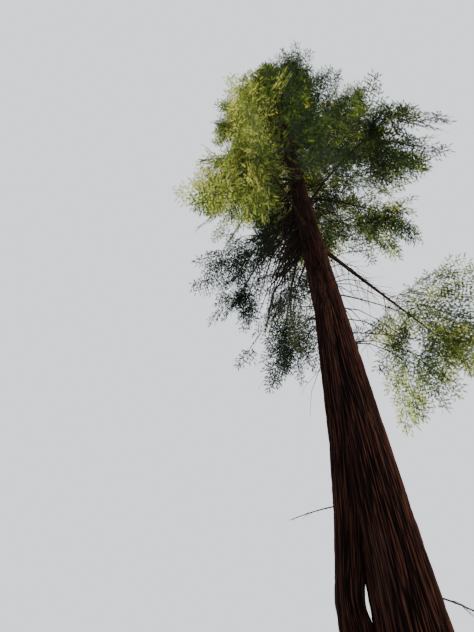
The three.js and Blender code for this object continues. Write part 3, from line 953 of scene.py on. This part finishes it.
TWIGLET_SPACING = 0.115
LEAST_TWIGLETS = 4
MOST_TWIGLETS = 21
FIRST_TWIGLET = 0.04
LAST_TWIGLET = 0.94
SPRAY_BEND = 0.09  # of its length, to left or right
SPRAY_CURL = 0.07  # up or down
SPRAY_SAG = 0.05
SPRAY_STEPS = (0.3, 0.65, 1.0)
TWIG_CROOK = 0.015
TWIG_TAPER = [1, 0.7, 0.42, 0.3, 0.2, 0]
TWIG_TIP = 0.0022
TWIGLET_SHIFT = 0.02
TWIGLET_OPENING = (58, 36)
OPENING_SPREAD = 7
TWIGLET_TILT = 0.22
TWIGLET_DROOP = 0.22
TWIGLET_REACH = 0.47
TWIGLET_SHORTENING = 0.6
TWIGLET_SPREAD = (0.82, 1.1)
TWIGLET_CURL = 0.16
TWIGLET_SAG = 0.1
TWIGLET_FOOT = 0.0042
TWIGLET_TIP = TWIG_TIP * 0.6
TWIG_SIDES = 3
TWIG_ROUGHNESS = 0.85
TWIG_BROWN = (0.034, 0.021, 0.012)
TWIGLET_BROWN = (0.042, 0.036, 0.014)
chance = np.random.default_rng(SEED)


def spread(low, high, shape):
    return chance.uniform(low, high, shape)


blade_count = len(blades)
feet, necks, sides, flats, alongs = (
    np.array([blade[key] for blade in blades]) for key in ("foot", "neck", "side", "flat", "along")
)
lengths, thicks = (np.array([blade[key] for blade in blades]) for key in ("length", "thick"))
sideways_bend = spread(-SPRAY_BEND, SPRAY_BEND, blade_count)
flat_bend = spread(-SPRAY_CURL, SPRAY_CURL, blade_count)


def spray_axis(which, share):
    """A point on the bent middle of a spray, at a share of its length."""
    bend = sides[which] * sideways_bend[which, None] + flats[which] * flat_bend[which, None]
    run = alongs[which] * share[:, None] + (bend - UP * SPRAY_SAG) * share[:, None] ** 2
    return necks[which] + run * lengths[which, None]


# Each twig's line runs from its foot over its neck and along the spray
every_blade = np.arange(blade_count)
twig_lines = [feet, lerp(feet, necks, 0.5) + flats * lengths[:, None] * TWIG_CROOK, necks]
twig_lines += [spray_axis(every_blade, np.full(blade_count, share)) for share in SPRAY_STEPS]
twig_lines = np.stack(twig_lines, axis=1)
twig_thick = np.maximum(thicks[:, None] * TWIG_TAPER, TWIG_TIP)

# Finer twigs stand to left and right by turns, and are longest low on the spray
twiglet_counts = np.round(lengths / TWIGLET_SPACING).astype(int).clip(LEAST_TWIGLETS, MOST_TWIGLETS)
twiglet_of = np.repeat(every_blade, twiglet_counts)
step = np.arange(len(twiglet_of)) - np.repeat(np.cumsum(twiglet_counts) - twiglet_counts, twiglet_counts)
step_share = step / (twiglet_counts[twiglet_of] - 1)
twiglet_share = lerp(FIRST_TWIGLET, LAST_TWIGLET, step_share)
twiglet_share = twiglet_share + spread(-TWIGLET_SHIFT, TWIGLET_SHIFT, step.shape)
hand = np.where(step % 2 == 0, 1.0, -1.0)
opening = lerp(*TWIGLET_OPENING, twiglet_share) + spread(-OPENING_SPREAD, OPENING_SPREAD, step.shape)
opening = np.radians(opening)
twiglet_foot = spray_axis(twiglet_of, twiglet_share)
twiglet_way = unit(
    alongs[twiglet_of] * np.cos(opening)[:, None]
    + sides[twiglet_of] * (hand * np.sin(opening))[:, None]
    + flats[twiglet_of] * spread(-TWIGLET_TILT, TWIGLET_TILT, (len(step), 1))
    - UP * spread(0.0, TWIGLET_DROOP, (len(step), 1))
)
twiglet_length = TWIGLET_REACH * lengths[twiglet_of] * (1 - twiglet_share) ** TWIGLET_SHORTENING
twiglet_length *= spread(*TWIGLET_SPREAD, step.shape)


def twiglet_point(which, share):
    """A point on a finer twig, which sags and curls forwards."""
    curl = alongs[twiglet_of[which]] * TWIGLET_CURL - UP * TWIGLET_SAG
    run = twiglet_way[which] * share[:, None] + curl * share[:, None] ** 2
    return twiglet_foot[which] + run * twiglet_length[which, None]


every_twiglet = np.arange(len(step))
twiglet_lines = np.stack(
    [twiglet_point(every_twiglet, np.full(len(step), share)) for share in (0.0, 1.0)], axis=1
)
twiglet_thick = np.tile([TWIGLET_FOOT, TWIGLET_TIP], (len(step), 1))


def line_object(name, lines, thick):
    """An object of edges only, from lines of as many points each, with how thick each point is."""
    count, steps = thick.shape
    start = np.arange(count)[:, None] * steps + np.arange(steps - 1)
    edges = np.stack([start, start + 1], -1).reshape(-1, 2).tolist()
    return new_object(name, lines.reshape(-1, 3), edges=edges, attributes={"thick": thick.ravel()})


def twig_tree():
    """Makes each line of edges a closed tube as thick as its points say."""
    nodes, given = new_tree("twigs", {"Sides": "NodeSocketInt", "Twig bark": "NodeSocketMaterial"})
    curve = nodes.add("GeometryNodeMeshToCurve", {}, {"Mesh": given["Geometry"]})
    ring = nodes.add("GeometryNodeCurvePrimitiveCircle", {}, {"Resolution": given["Sides"], "Radius": 1.0})
    thick = carried(nodes, "thick", "FLOAT")
    skin = nodes.add(
        "GeometryNodeCurveToMesh",
        {},
        {"Curve": curve, "Profile Curve": ring, "Scale": thick, "Fill Caps": True},
    )
    return end_tree(nodes, skin, given["Twig bark"])


def plain_material(name, colour, roughness, gloss=DULL_GLOSS):
    """A material in one plain colour: on pieces of so many parts, a pattern would not keep its place."""
    material, nodes, shader = new_material(name, roughness, gloss)
    shader.inputs["Base Color"].default_value = (*colour, 1.0)
    return material, nodes, shader


foliage_nodes = [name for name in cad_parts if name.startswith("foliage_") or name == "crown_top"]
twig_skin = twig_tree()
for name, colour, lines, thick in [
    ("twigs", TWIG_BROWN, twig_lines, twig_thick),
    ("finer_twigs", TWIGLET_BROWN, twiglet_lines, twiglet_thick),
]:
    twig_bark, _, _ = plain_material(name + "_bark", colour, TWIG_ROUGHNESS)
    twigs = grow(line_object(name, lines, thick), twig_skin, {"Sides": TWIG_SIDES, "Twig bark": twig_bark})
    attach(twigs, "root")
    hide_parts(*foliage_nodes)


# Dead twigs: bare dark twigs that have lost their needles and stay on the tree. They stand on the limbs'
# bare lengths and round the trunk, and longer dead limbs hang down on its left. Each is a tube along a bent
# line with one fork, rooted in the wood that carries it.
HANGING_LIMBS = 40
HANGING_FROM = 14.0
HANGING_TO = 19.5
HANGING_SIDE = (225, 330)
HANGING_OUT = (0.15, 0.75)
HANGING_ASIDE = 0.25
HANGING_DROP = 0.25
HANGING_LENGTH = (1.6, 3.4)
HANGING_RADIUS = 0.042
HANGING_SAG = 0.85
DEAD_TWIG_LENGTH = (0.35, 1.15)
DEAD_TWIG_RADIUS = 0.013
DEAD_TWIG_SAG = 0.42
ON_LIMB_EACH_METRE = 9  # of its bare length
ON_LIMB_FROM = 0.15
ON_LIMB_AHEAD = (0.3, 1.0)
ON_LIMB_ASIDE = (0.2, 0.8)
ON_LIMB_DROP = 0.5
ON_TRUNK_IN_ALL = 110
ON_TRUNK_FROM = 9.5
ON_TRUNK_TO = 27.0
ON_TRUNK_ASIDE = 0.4
ON_TRUNK_RISE = (-0.5, 0.25)
LONGER_ON_TRUNK = 1.7
THICKER_ON_TRUNK = 1.3
ROOTED_AT = 0.9  # of the trunk's radius
DEAD_STEPS = np.array([0, 0.25, 0.5, 0.75, 1.0])
DEAD_TAPER = np.array([1, 0.8, 0.6, 0.42, 0.22])
DEAD_WAVER = 0.045
DEAD_WAVES = 6
FORK_AT = 2  # the step of the line on which it stands
FORK_ASIDE = (0.5, 1.0)
FORK_DROP = 0.3
FORK_LENGTH = (0.35, 0.6)
FORK_THICK = 0.55
DEAD_TWIG_BROWN = (0.010, 0.0072, 0.0056)


def dead_twig(foot, way, across, length, radius, sag=DEAD_TWIG_SAG):
    """A bare twig that sags and wavers: its line, the line of a fork on it, and how thick they are."""

    def bend(start, ahead, span):
        shares = DEAD_STEPS[:, None]
        waver = across * DEAD_WAVER * np.sin(DEAD_WAVES * shares)
        return start + (ahead * shares + waver - UP * sag * shares**2) * span

    main = bend(foot, way, length)
    side = unit(way + across * chance.choice([-1, 1]) * chance.uniform(*FORK_ASIDE) - UP * FORK_DROP)
    fork = bend(main[FORK_AT], side, length * chance.uniform(*FORK_LENGTH))
    thick = radius * DEAD_TAPER
    return [main, fork], [thick, thick * FORK_THICK]


def foot_on_trunk(height, out):
    return trunk_axis(height) + out * trunk_radius(height) * ROOTED_AT


def dead_twigs():
    """The limbs that hang on the left, then the twigs on the limbs' bare lengths and on the trunk."""
    for _ in range(HANGING_LIMBS):
        height = chance.uniform(HANGING_FROM, HANGING_TO)
        out = heading(chance.uniform(*HANGING_SIDE))
        across = np.cross(out, UP)
        way = out * chance.uniform(*HANGING_OUT) + across * chance.uniform(-HANGING_ASIDE, HANGING_ASIDE)
        way = way - UP * HANGING_DROP
        length = chance.uniform(*HANGING_LENGTH)
        yield dead_twig(foot_on_trunk(height, out), way, across, length, HANGING_RADIUS, HANGING_SAG)
    for bough in boughs:
        for _ in range(round(ON_LIMB_EACH_METRE * bough["bare"] * bough["reach"])):
            share = chance.uniform(ON_LIMB_FROM, 1.0) * bough["bare"]
            foot = bough["path"](share)
            ahead = unit(bough["path"](share + AXIS_STEP) - foot)
            across = np.cross(ahead, UP) * chance.choice([-1, 1])
            way = ahead * chance.uniform(*ON_LIMB_AHEAD) + across * chance.uniform(*ON_LIMB_ASIDE)
            way = unit(way - UP * ON_LIMB_DROP)
            yield dead_twig(foot, way, across, chance.uniform(*DEAD_TWIG_LENGTH), DEAD_TWIG_RADIUS)
    for _ in range(ON_TRUNK_IN_ALL):
        height = chance.uniform(ON_TRUNK_FROM, ON_TRUNK_TO)
        out = heading(SHOWN_SIDE + chance.uniform(SHOWN_SPREAD, 360 - SHOWN_SPREAD))
        across = np.cross(out, UP)
        way = out + across * chance.uniform(-ON_TRUNK_ASIDE, ON_TRUNK_ASIDE)
        way = unit(way + UP * chance.uniform(*ON_TRUNK_RISE))
        length = chance.uniform(*DEAD_TWIG_LENGTH) * LONGER_ON_TRUNK
        yield dead_twig(foot_on_trunk(height, out), way, across, length, DEAD_TWIG_RADIUS * THICKER_ON_TRUNK)


dead_lines, dead_thick = (np.concatenate(parts) for parts in zip(*dead_twigs()))
dead_twig_bark, _, _ = plain_material("dead_twigs_bark", DEAD_TWIG_BROWN, TWIG_ROUGHNESS)
bare_twigs = line_object("dead_twigs", dead_lines, dead_thick)
grow(bare_twigs, twig_skin, {"Sides": TWIG_SIDES, "Twig bark": dead_twig_bark})
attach(bare_twigs, "root")
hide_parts(*foliage_nodes)


# Needles: flat shoots with needles in two rows, set close along every finer twig. Each shoot is a feather
# with four teeth a side, drawn larger than life, as the real ones are too many. They are dealt out by colour
# into joined pieces, in greens of painted light and shade: blue-green as painted shade low on the left,
# yellow-green as painted light where light comes through, darker as painted shade overhead.
TEETH = 4
TOOTH_AHEAD = 1.35  # its tip stands so many teeth on from its root
TOOTH_REACH = 0.27
TOOTH_RISE = 0.05
SHOOT_ROUNDING = 0.6
SHOOT_FOOT = 0.16
SHOOT_SPACING = 0.064
SPARSER_ON_SPRAY = 1.3
FIRST_SHOOT = 0.1
LAST_SHOOT = 0.97
SHOOT_SHIFT = 0.25  # of the spacing
SHOOT_OPENING = (35, 62)
LAST_OPENING = 0.12
SHOOT_TILT = 0.2
SHOOT_DROOP = 0.25
FACE_SPREAD = 0.28
SHOOT_LENGTH = 0.19
SHOOT_SHORTENING = 0.3
SHOOT_SPREAD = (0.8, 1.15)
BEFORE_TRUNK_SHARE = 0.35  # of the shoots before the trunk's shown length, so many stay
SHOOTS_IN_PIECE = 24000
# Painted light and shade: the looks run from the most shaded sprays to the most lit, with chance between
NEEDLE_LOOKS = [  # each with its share of the shoots, from the darkest spray to the lightest
    ("needles_shade", 0.2, (0.007, 0.016, 0.0105)),
    ("needles_deep", 0.23, (0.014, 0.030, 0.009)),
    ("needles_green", 0.24, (0.036, 0.064, 0.011)),
    ("needles_fresh", 0.2, (0.105, 0.145, 0.024)),
    ("needles_light", 0.13, (0.320, 0.345, 0.085)),
]
NEEDLE_ROUGHNESS = 0.5
NEEDLE_GLOSS = 0.12
THROUGH_LIGHT = 0.42
THROUGH_COLOUR = (1.5, 1.45, 0.9)  # times the needles' own


def shoot_object():
    """One shoot along +X in the XY plane, its needles' tips a little raised."""
    spine = [(i / TEETH, 0.0, 0.0) for i in range(TEETH + 1)]
    tips, faces = [], []
    for i in range(TEETH):
        ahead = (i + TOOTH_AHEAD) / TEETH
        share = min(1.0, SHOOT_FOOT + (1 - SHOOT_FOOT) * (i + 0.5) / TEETH)
        reach = TOOTH_REACH * math.sin(math.pi * share) ** SHOOT_ROUNDING
        left = len(spine) + len(tips)
        tips += [(ahead, reach, TOOTH_RISE), (ahead, -reach, TOOTH_RISE)]
        faces += [(i, i + 1, left), (i + 1, i, left + 1)]
    return new_object("needle shoot", spine + tips, faces=faces)


def needle_tree():
    """Sets the shoot on each point, turned and sized as the point says."""
    nodes, given = new_tree("needles", {"Shoot": "NodeSocketObject", "Needles": "NodeSocketMaterial"})
    shoot = nodes.add("GeometryNodeObjectInfo", {}, {"Object": given["Shoot"]}, "Geometry")
    turn = nodes.add(
        "FunctionNodeAxesToRotation",
        {"primary_axis": "X", "secondary_axis": "Z"},
        {"Primary Axis": carried(nodes, "along"), "Secondary Axis": carried(nodes, "face")},
    )
    size = carried(nodes, "size", "FLOAT")
    placed = nodes.add(
        "GeometryNodeInstanceOnPoints",
        {},
        {"Points": given["Geometry"], "Instance": shoot, "Rotation": turn, "Scale": size},
    )
    return end_tree(nodes, placed, given["Needles"])


def needle_material(name, colour):
    """Needles in one green, which let some of the light from behind through."""
    material, nodes, shader = plain_material(name, colour, NEEDLE_ROUGHNESS, NEEDLE_GLOSS)
    glow = tuple(min(1.0, channel * gain) for channel, gain in zip(colour, THROUGH_COLOUR))
    through = nodes.add("ShaderNodeBsdfTranslucent", {}, {"Color": (*glow, 1.0)})
    mixed = nodes.add(
        "ShaderNodeMixShader",
        {},
        {0: THROUGH_LIGHT, 1: Socket(nodes, shader.outputs["BSDF"]), 2: through},
    )
    end = material.node_tree.nodes["Material Output"]
    nodes.tree.links.new(mixed.socket, end.inputs["Surface"])
    return material


def shoots_on_lines(counts, point, way, flat, first_share):
    """Shoots along lines, to left and right by turns: the line, point, way, upper face and size of each."""
    line = np.repeat(np.arange(len(counts)), counts)
    number = np.arange(len(line)) - np.repeat(np.cumsum(counts) - counts, counts)
    at_tip = number == counts[line] - 1
    place = number + 0.5 + spread(-SHOOT_SHIFT, SHOOT_SHIFT, line.shape)
    share = np.where(at_tip, LAST_SHOOT, first_share + (1 - first_share) * place / counts[line])
    turn = np.radians(spread(*SHOOT_OPENING, line.shape)) * np.where(number % 2 == 0, 1, -1)
    turn = np.where(at_tip, turn * LAST_OPENING, turn)
    square = np.cross(flat[line], way[line])
    ways = way[line] * np.cos(turn)[:, None] + square * np.sin(turn)[:, None]
    tilt = flat[line] * spread(-SHOOT_TILT, SHOOT_TILT, (len(line), 1))
    ways += tilt - UP * spread(0.0, SHOOT_DROOP, (len(line), 1))
    upper = flat[line] * np.where(flat[line][:, 2:] < 0, -1.0, 1.0)
    faces = upper + chance.normal(0, FACE_SPREAD, (len(line), 3))
    sizes = SHOOT_LENGTH * (1 - SHOOT_SHORTENING * share) * spread(*SHOOT_SPREAD, line.shape)
    return {
        "line": line,
        "points": point(line, share),
        "along": unit(ways),
        "face": unit(faces),
        "size": sizes,
    }


on_twiglets = shoots_on_lines(
    np.maximum(2, np.round(twiglet_length / SHOOT_SPACING)).astype(int),
    twiglet_point,
    twiglet_way,
    flats[twiglet_of],
    FIRST_SHOOT,
)
on_sprays = shoots_on_lines(
    np.round(lengths / (SHOOT_SPACING * SPARSER_ON_SPRAY)).astype(int), spray_axis, alongs, flats, 0.0
)
shoot_blade = np.concatenate([twiglet_of[on_twiglets["line"]], on_sprays["line"]])
shoots = {
    key: np.concatenate([on_twiglets[key], on_sprays[key]])
    for key in ("points", "along", "face", "size")
}
kept = ~before_trunk(shoots["points"]) | (spread(0, 1, shoot_blade.shape) < BEFORE_TRUNK_SHARE)
shoot_blade = shoot_blade[kept]
shoots = {key: values[kept] for key, values in shoots.items()}

# The tone of a spray is painted light and shade by its place in the crown, and goes by chance from spray
# to spray and shoot to shoot
LOW_BELOW = 22.0
LOW_OVER = 5.0
LEFT_AT_TRUNK = 0.4
LEFT_OVER = 2
FAR_AT_TRUNK = 0.6
FAR_OVER = 3
# Painted light lightens sprays further out and on the left; painted shade darkens low far-left and overhead
# ones
LIGHTER_OUT = 0.06  # for each metre out from the trunk
SHADE_LOW = 0.5
SHADE_OVERHEAD = 0.23
LIGHTER_LEFT = 0.28
SPRAY_CHANCE = 0.19
SHOOT_CHANCE = 0.13
middles = spray_axis(every_blade, np.full(blade_count, 0.5))
from_axis = middles - trunk_axis(middles[:, 2])
level_out = np.hypot(from_axis[:, 0], from_axis[:, 1])
low = np.clip((LOW_BELOW - middles[:, 2]) / LOW_OVER, 0, 1)
left = np.clip(LEFT_AT_TRUNK - from_axis[:, 0] / LEFT_OVER, 0, 1)
far = np.clip(FAR_AT_TRUNK + from_axis[:, 1] / FAR_OVER, 0, 1)
overhead = (1 - far) * (1 - left)
# painted light and shade by the spray's place, then chance
blade_tone = LIGHTER_OUT * level_out - SHADE_LOW * low * left * far - SHADE_OVERHEAD * overhead
blade_tone += LIGHTER_LEFT * left * (1 - low * far) + chance.normal(0, SPRAY_CHANCE, blade_count)
tone = blade_tone[shoot_blade] + chance.normal(0, SHOOT_CHANCE, len(shoot_blade))
order = np.argsort(tone)
needle_tree_nodes = needle_tree()
shoot = shoot_object()
cuts = np.round(np.cumsum([share for _, share, _ in NEEDLE_LOOKS]) * len(order)).astype(int)[:-1]
for (name, _, colour), chosen in zip(NEEDLE_LOOKS, np.split(order, cuts)):
    look = needle_material(name, colour)
    for part, members in enumerate(np.array_split(chosen, math.ceil(len(chosen) / SHOOTS_IN_PIECE))):
        attributes = {key: shoots[key][members] for key in ("along", "face", "size")}
        piece = new_object(f"{name}_{part + 1}", shoots["points"][members], attributes=attributes)
        grow(piece, needle_tree_nodes, {"Shoot": shoot, "Needles": look})
        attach(piece, "root")
        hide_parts(*foliage_nodes)
bpy.data.objects.remove(shoot)


# Dead limbs: thin grey-brown limbs that have lost their bark and needles, and the stub of a broken one, on
# the clear length of the stems. Each forks into a few bare twigs; the stub ends in splinters.
DEAD_LIMBS = {
    "dead_limb_low_right": {"height": 4.2, "bearing": 62, "reach": 1.25, "droop": 24, "radius": 0.017},
    "dead_limb_low_left": {"height": 5.55, "bearing": -100, "reach": 0.9, "droop": 4, "radius": 0.014},
    "dead_limb_right": {"height": 9.9, "bearing": 70, "reach": 2.2, "droop": 22, "radius": 0.016},
    "broken_stub": {"height": 10.65, "bearing": -95, "reach": 0.62, "droop": -8, "radius": 0.052},
    "dead_limb_high_right": {"height": 11.6, "bearing": 60, "reach": 1.75, "droop": 26, "radius": 0.026},
}
ON_SIDE_STEM = "dead_limb_low_left"
STUB = "broken_stub"
DEAD_TIP = 0.4
DEAD_SWEEP = 0.1
DEAD_RINGS = 40
DEAD_SIDES = 12
KNOT_DEPTH = 0.12
KNOT_WAVES = (21, 57)
DEAD_STEP = 0.05
DEAD_FORKS = 7
DEAD_FORK_FROM = 0.45
DEAD_FORK_ASIDE = (0.3, 0.9)
DEAD_FORK_DROP = 0.5
DEAD_FORK_LENGTH = (0.14, 0.3)
DEAD_FORK_SHORTENING = 1.25
DEAD_FORK_STEPS = (0, 0.35, 0.7, 1)
DEAD_FORK_TAPER = (0.85, 0.6, 0.42, 0.22)
DEAD_FORK_SAG = 0.2
DEAD_FORK_WAVER = 0.1
DEAD_FORK_WAVES = 4
DEAD_FORK_SIDES = 5
STUB_STEP = 0.1
SPLINTERS = (-0.16, 0.0)
DEAD_FIBRE = 0.004
DEAD_RIDGES = {"Ridge width": 0.009, "Ridge length": 0.16, "Furrow share": 0.16, "Wander": 0.4}
# painted shade: the first stop is the darkened furrows between the ridges
DEAD_COLOURS = [(0.010, 0.007, 0.006), (0.045, 0.032, 0.024), (0.115, 0.088, 0.068)]
DEAD_GREY = (0.14, 0.125, 0.11)


def dead_limb(name, limb):
    """A dead limb's tube and its forks, as lines with their thickness."""
    line = bough_path({**limb, "sweep": DEAD_SWEEP, "rise": 0})
    shift = stem_axis(limb["height"]) - trunk_axis(limb["height"]) if name == ON_SIDE_STEM else 0

    def path(share):
        return line(share) + shift

    shares = np.linspace(0, 1, DEAD_RINGS + 1)
    knots = 1 + KNOT_DEPTH * np.sin(shares * KNOT_WAVES[0]) * np.sin(shares * KNOT_WAVES[1])
    radii = limb["radius"] * lerp(1, DEAD_TIP, shares) * knots
    wood = limb_tube(path, shares, radii, DEAD_SIDES)
    if name == STUB:
        splinters = unit(path(1.0) - path(1.0 - STUB_STEP)) * chance.uniform(*SPLINTERS, (DEAD_SIDES, 1))
        last = DEAD_RINGS * DEAD_SIDES
        wood["points"][last:last + DEAD_SIDES] += splinters
        wood["points"][-1] += splinters.min(axis=0)
        return wood, None
    forks, thick = [], []
    for share in chance.uniform(DEAD_FORK_FROM, 1.0, DEAD_FORKS):
        foot = path(share)
        ahead = unit(path(share) - path(share - DEAD_STEP))
        across = np.cross(ahead, UP) * chance.choice([-1, 1])
        way = ahead + across * chance.uniform(*DEAD_FORK_ASIDE)
        way = unit(way - UP * chance.uniform(0.0, DEAD_FORK_DROP))
        length = limb["reach"] * chance.uniform(*DEAD_FORK_LENGTH) * (DEAD_FORK_SHORTENING - share)
        fork = []
        for s in DEAD_FORK_STEPS:
            sag = UP * DEAD_FORK_SAG * s * s
            waver = across * DEAD_FORK_WAVER * math.sin(DEAD_FORK_WAVES * s)
            fork.append(foot + (way * s - sag + waver) * length)
        forks.append(fork)
        thick.append([limb["radius"] * DEAD_TIP * k for k in DEAD_FORK_TAPER])
    return wood, (np.array(forks), np.array(thick))


dead_wood = bark_material("dead wood", DEAD_COLOURS, DEAD_GREY, DEAD_FIBRE)
for name, limb in DEAD_LIMBS.items():
    wood, forks = dead_limb(name, limb)
    made = [grow(joined_tubes(name + "_wood", [wood]), relief, {**DEAD_RIDGES, "Bark": dead_wood})]
    if forks:
        fork_lines = line_object(name + "_forks", *forks)
        made.append(grow(fork_lines, twig_skin, {"Sides": DEAD_FORK_SIDES, "Twig bark": dead_twig_bark}))
    for one in made:
        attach(one, "root")
        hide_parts(name)


# Studio: a plain pale floor and a pale surround, with soft light from behind and above, a warmer one low on
# the right, and a faint fill from the front. The camera stands near the foot and looks steeply up, as the
# photograph does.
FLOOR_RADIUS = 260.0
FLOOR_SIDES = 96
FLOOR_DROP = 0.002
FLOOR_COLOUR = (0.52, 0.55, 0.58)
FLOOR_ROUGHNESS = 0.9
SURROUND = (0.86, 0.90, 0.95)
SURROUND_STRENGTH = 1.5
CAMERA_PLACE = (0.571, -7.208, 0.97)
CAMERA_LEFT = 20.43
CAMERA_RISE = 54.99
CAMERA_ROLL = -2.53
FOCAL_PIXELS = 490
IMAGE_HEIGHT = 632
SENSOR = 36.0
FARTHEST_SEEN = 1000.0
LIGHTS = [  # each comes from a way, as wide as so many degrees
    ("light from behind", (-0.5, 0.62, 0.6), 28, 4.2, (1.0, 0.95, 0.84)),
    ("light from the right", (0.96, -0.02, 0.26), 8, 6.5, (1.0, 0.74, 0.54)),
    ("light from the front", (0.4, -0.7, 0.75), 60, 0.5, (0.95, 0.97, 1.0)),
]

rim = np.column_stack([np.cos(round_angles(FLOOR_SIDES)), np.sin(round_angles(FLOOR_SIDES))]) * FLOOR_RADIUS
rim = np.column_stack([rim, np.full(FLOOR_SIDES, -FLOOR_DROP)])
floor = new_object("floor", rim, faces=[list(range(FLOOR_SIDES))])
floor_look, _, floor_shader = new_material("pale floor", FLOOR_ROUGHNESS)
floor_shader.inputs["Base Color"].default_value = (*FLOOR_COLOUR, 1.0)
floor.data.materials.append(floor_look)

world = bpy.data.worlds.new("pale surround")
world.use_nodes = True
world.node_tree.nodes["Background"].inputs["Color"].default_value = (*SURROUND, 1.0)
world.node_tree.nodes["Background"].inputs["Strength"].default_value = SURROUND_STRENGTH
bpy.context.scene.world = world

for name, source, width, power, colour in LIGHTS:
    lamp = bpy.data.lights.new(name, "SUN")
    lamp.angle = math.radians(width)
    lamp.energy = power
    lamp.color = colour
    light = bpy.data.objects.new(name, lamp)
    light.rotation_euler = Vector(source).to_track_quat("Z", "Y").to_euler()
    bpy.context.scene.collection.objects.link(light)

lens = bpy.data.cameras.new("camera")
lens.sensor_width = SENSOR
lens.lens = SENSOR * FOCAL_PIXELS / IMAGE_HEIGHT
lens.clip_end = FARTHEST_SEEN
camera = bpy.data.objects.new("camera", lens)
camera.matrix_world = (
    Matrix.Translation(CAMERA_PLACE)
    @ Matrix.Rotation(math.radians(CAMERA_LEFT), 4, "Z")
    @ Matrix.Rotation(math.radians(90 + CAMERA_RISE), 4, "X")
    @ Matrix.Rotation(math.radians(CAMERA_ROLL), 4, "Z")
)
bpy.context.scene.collection.objects.link(camera)
bpy.context.scene.camera = camera
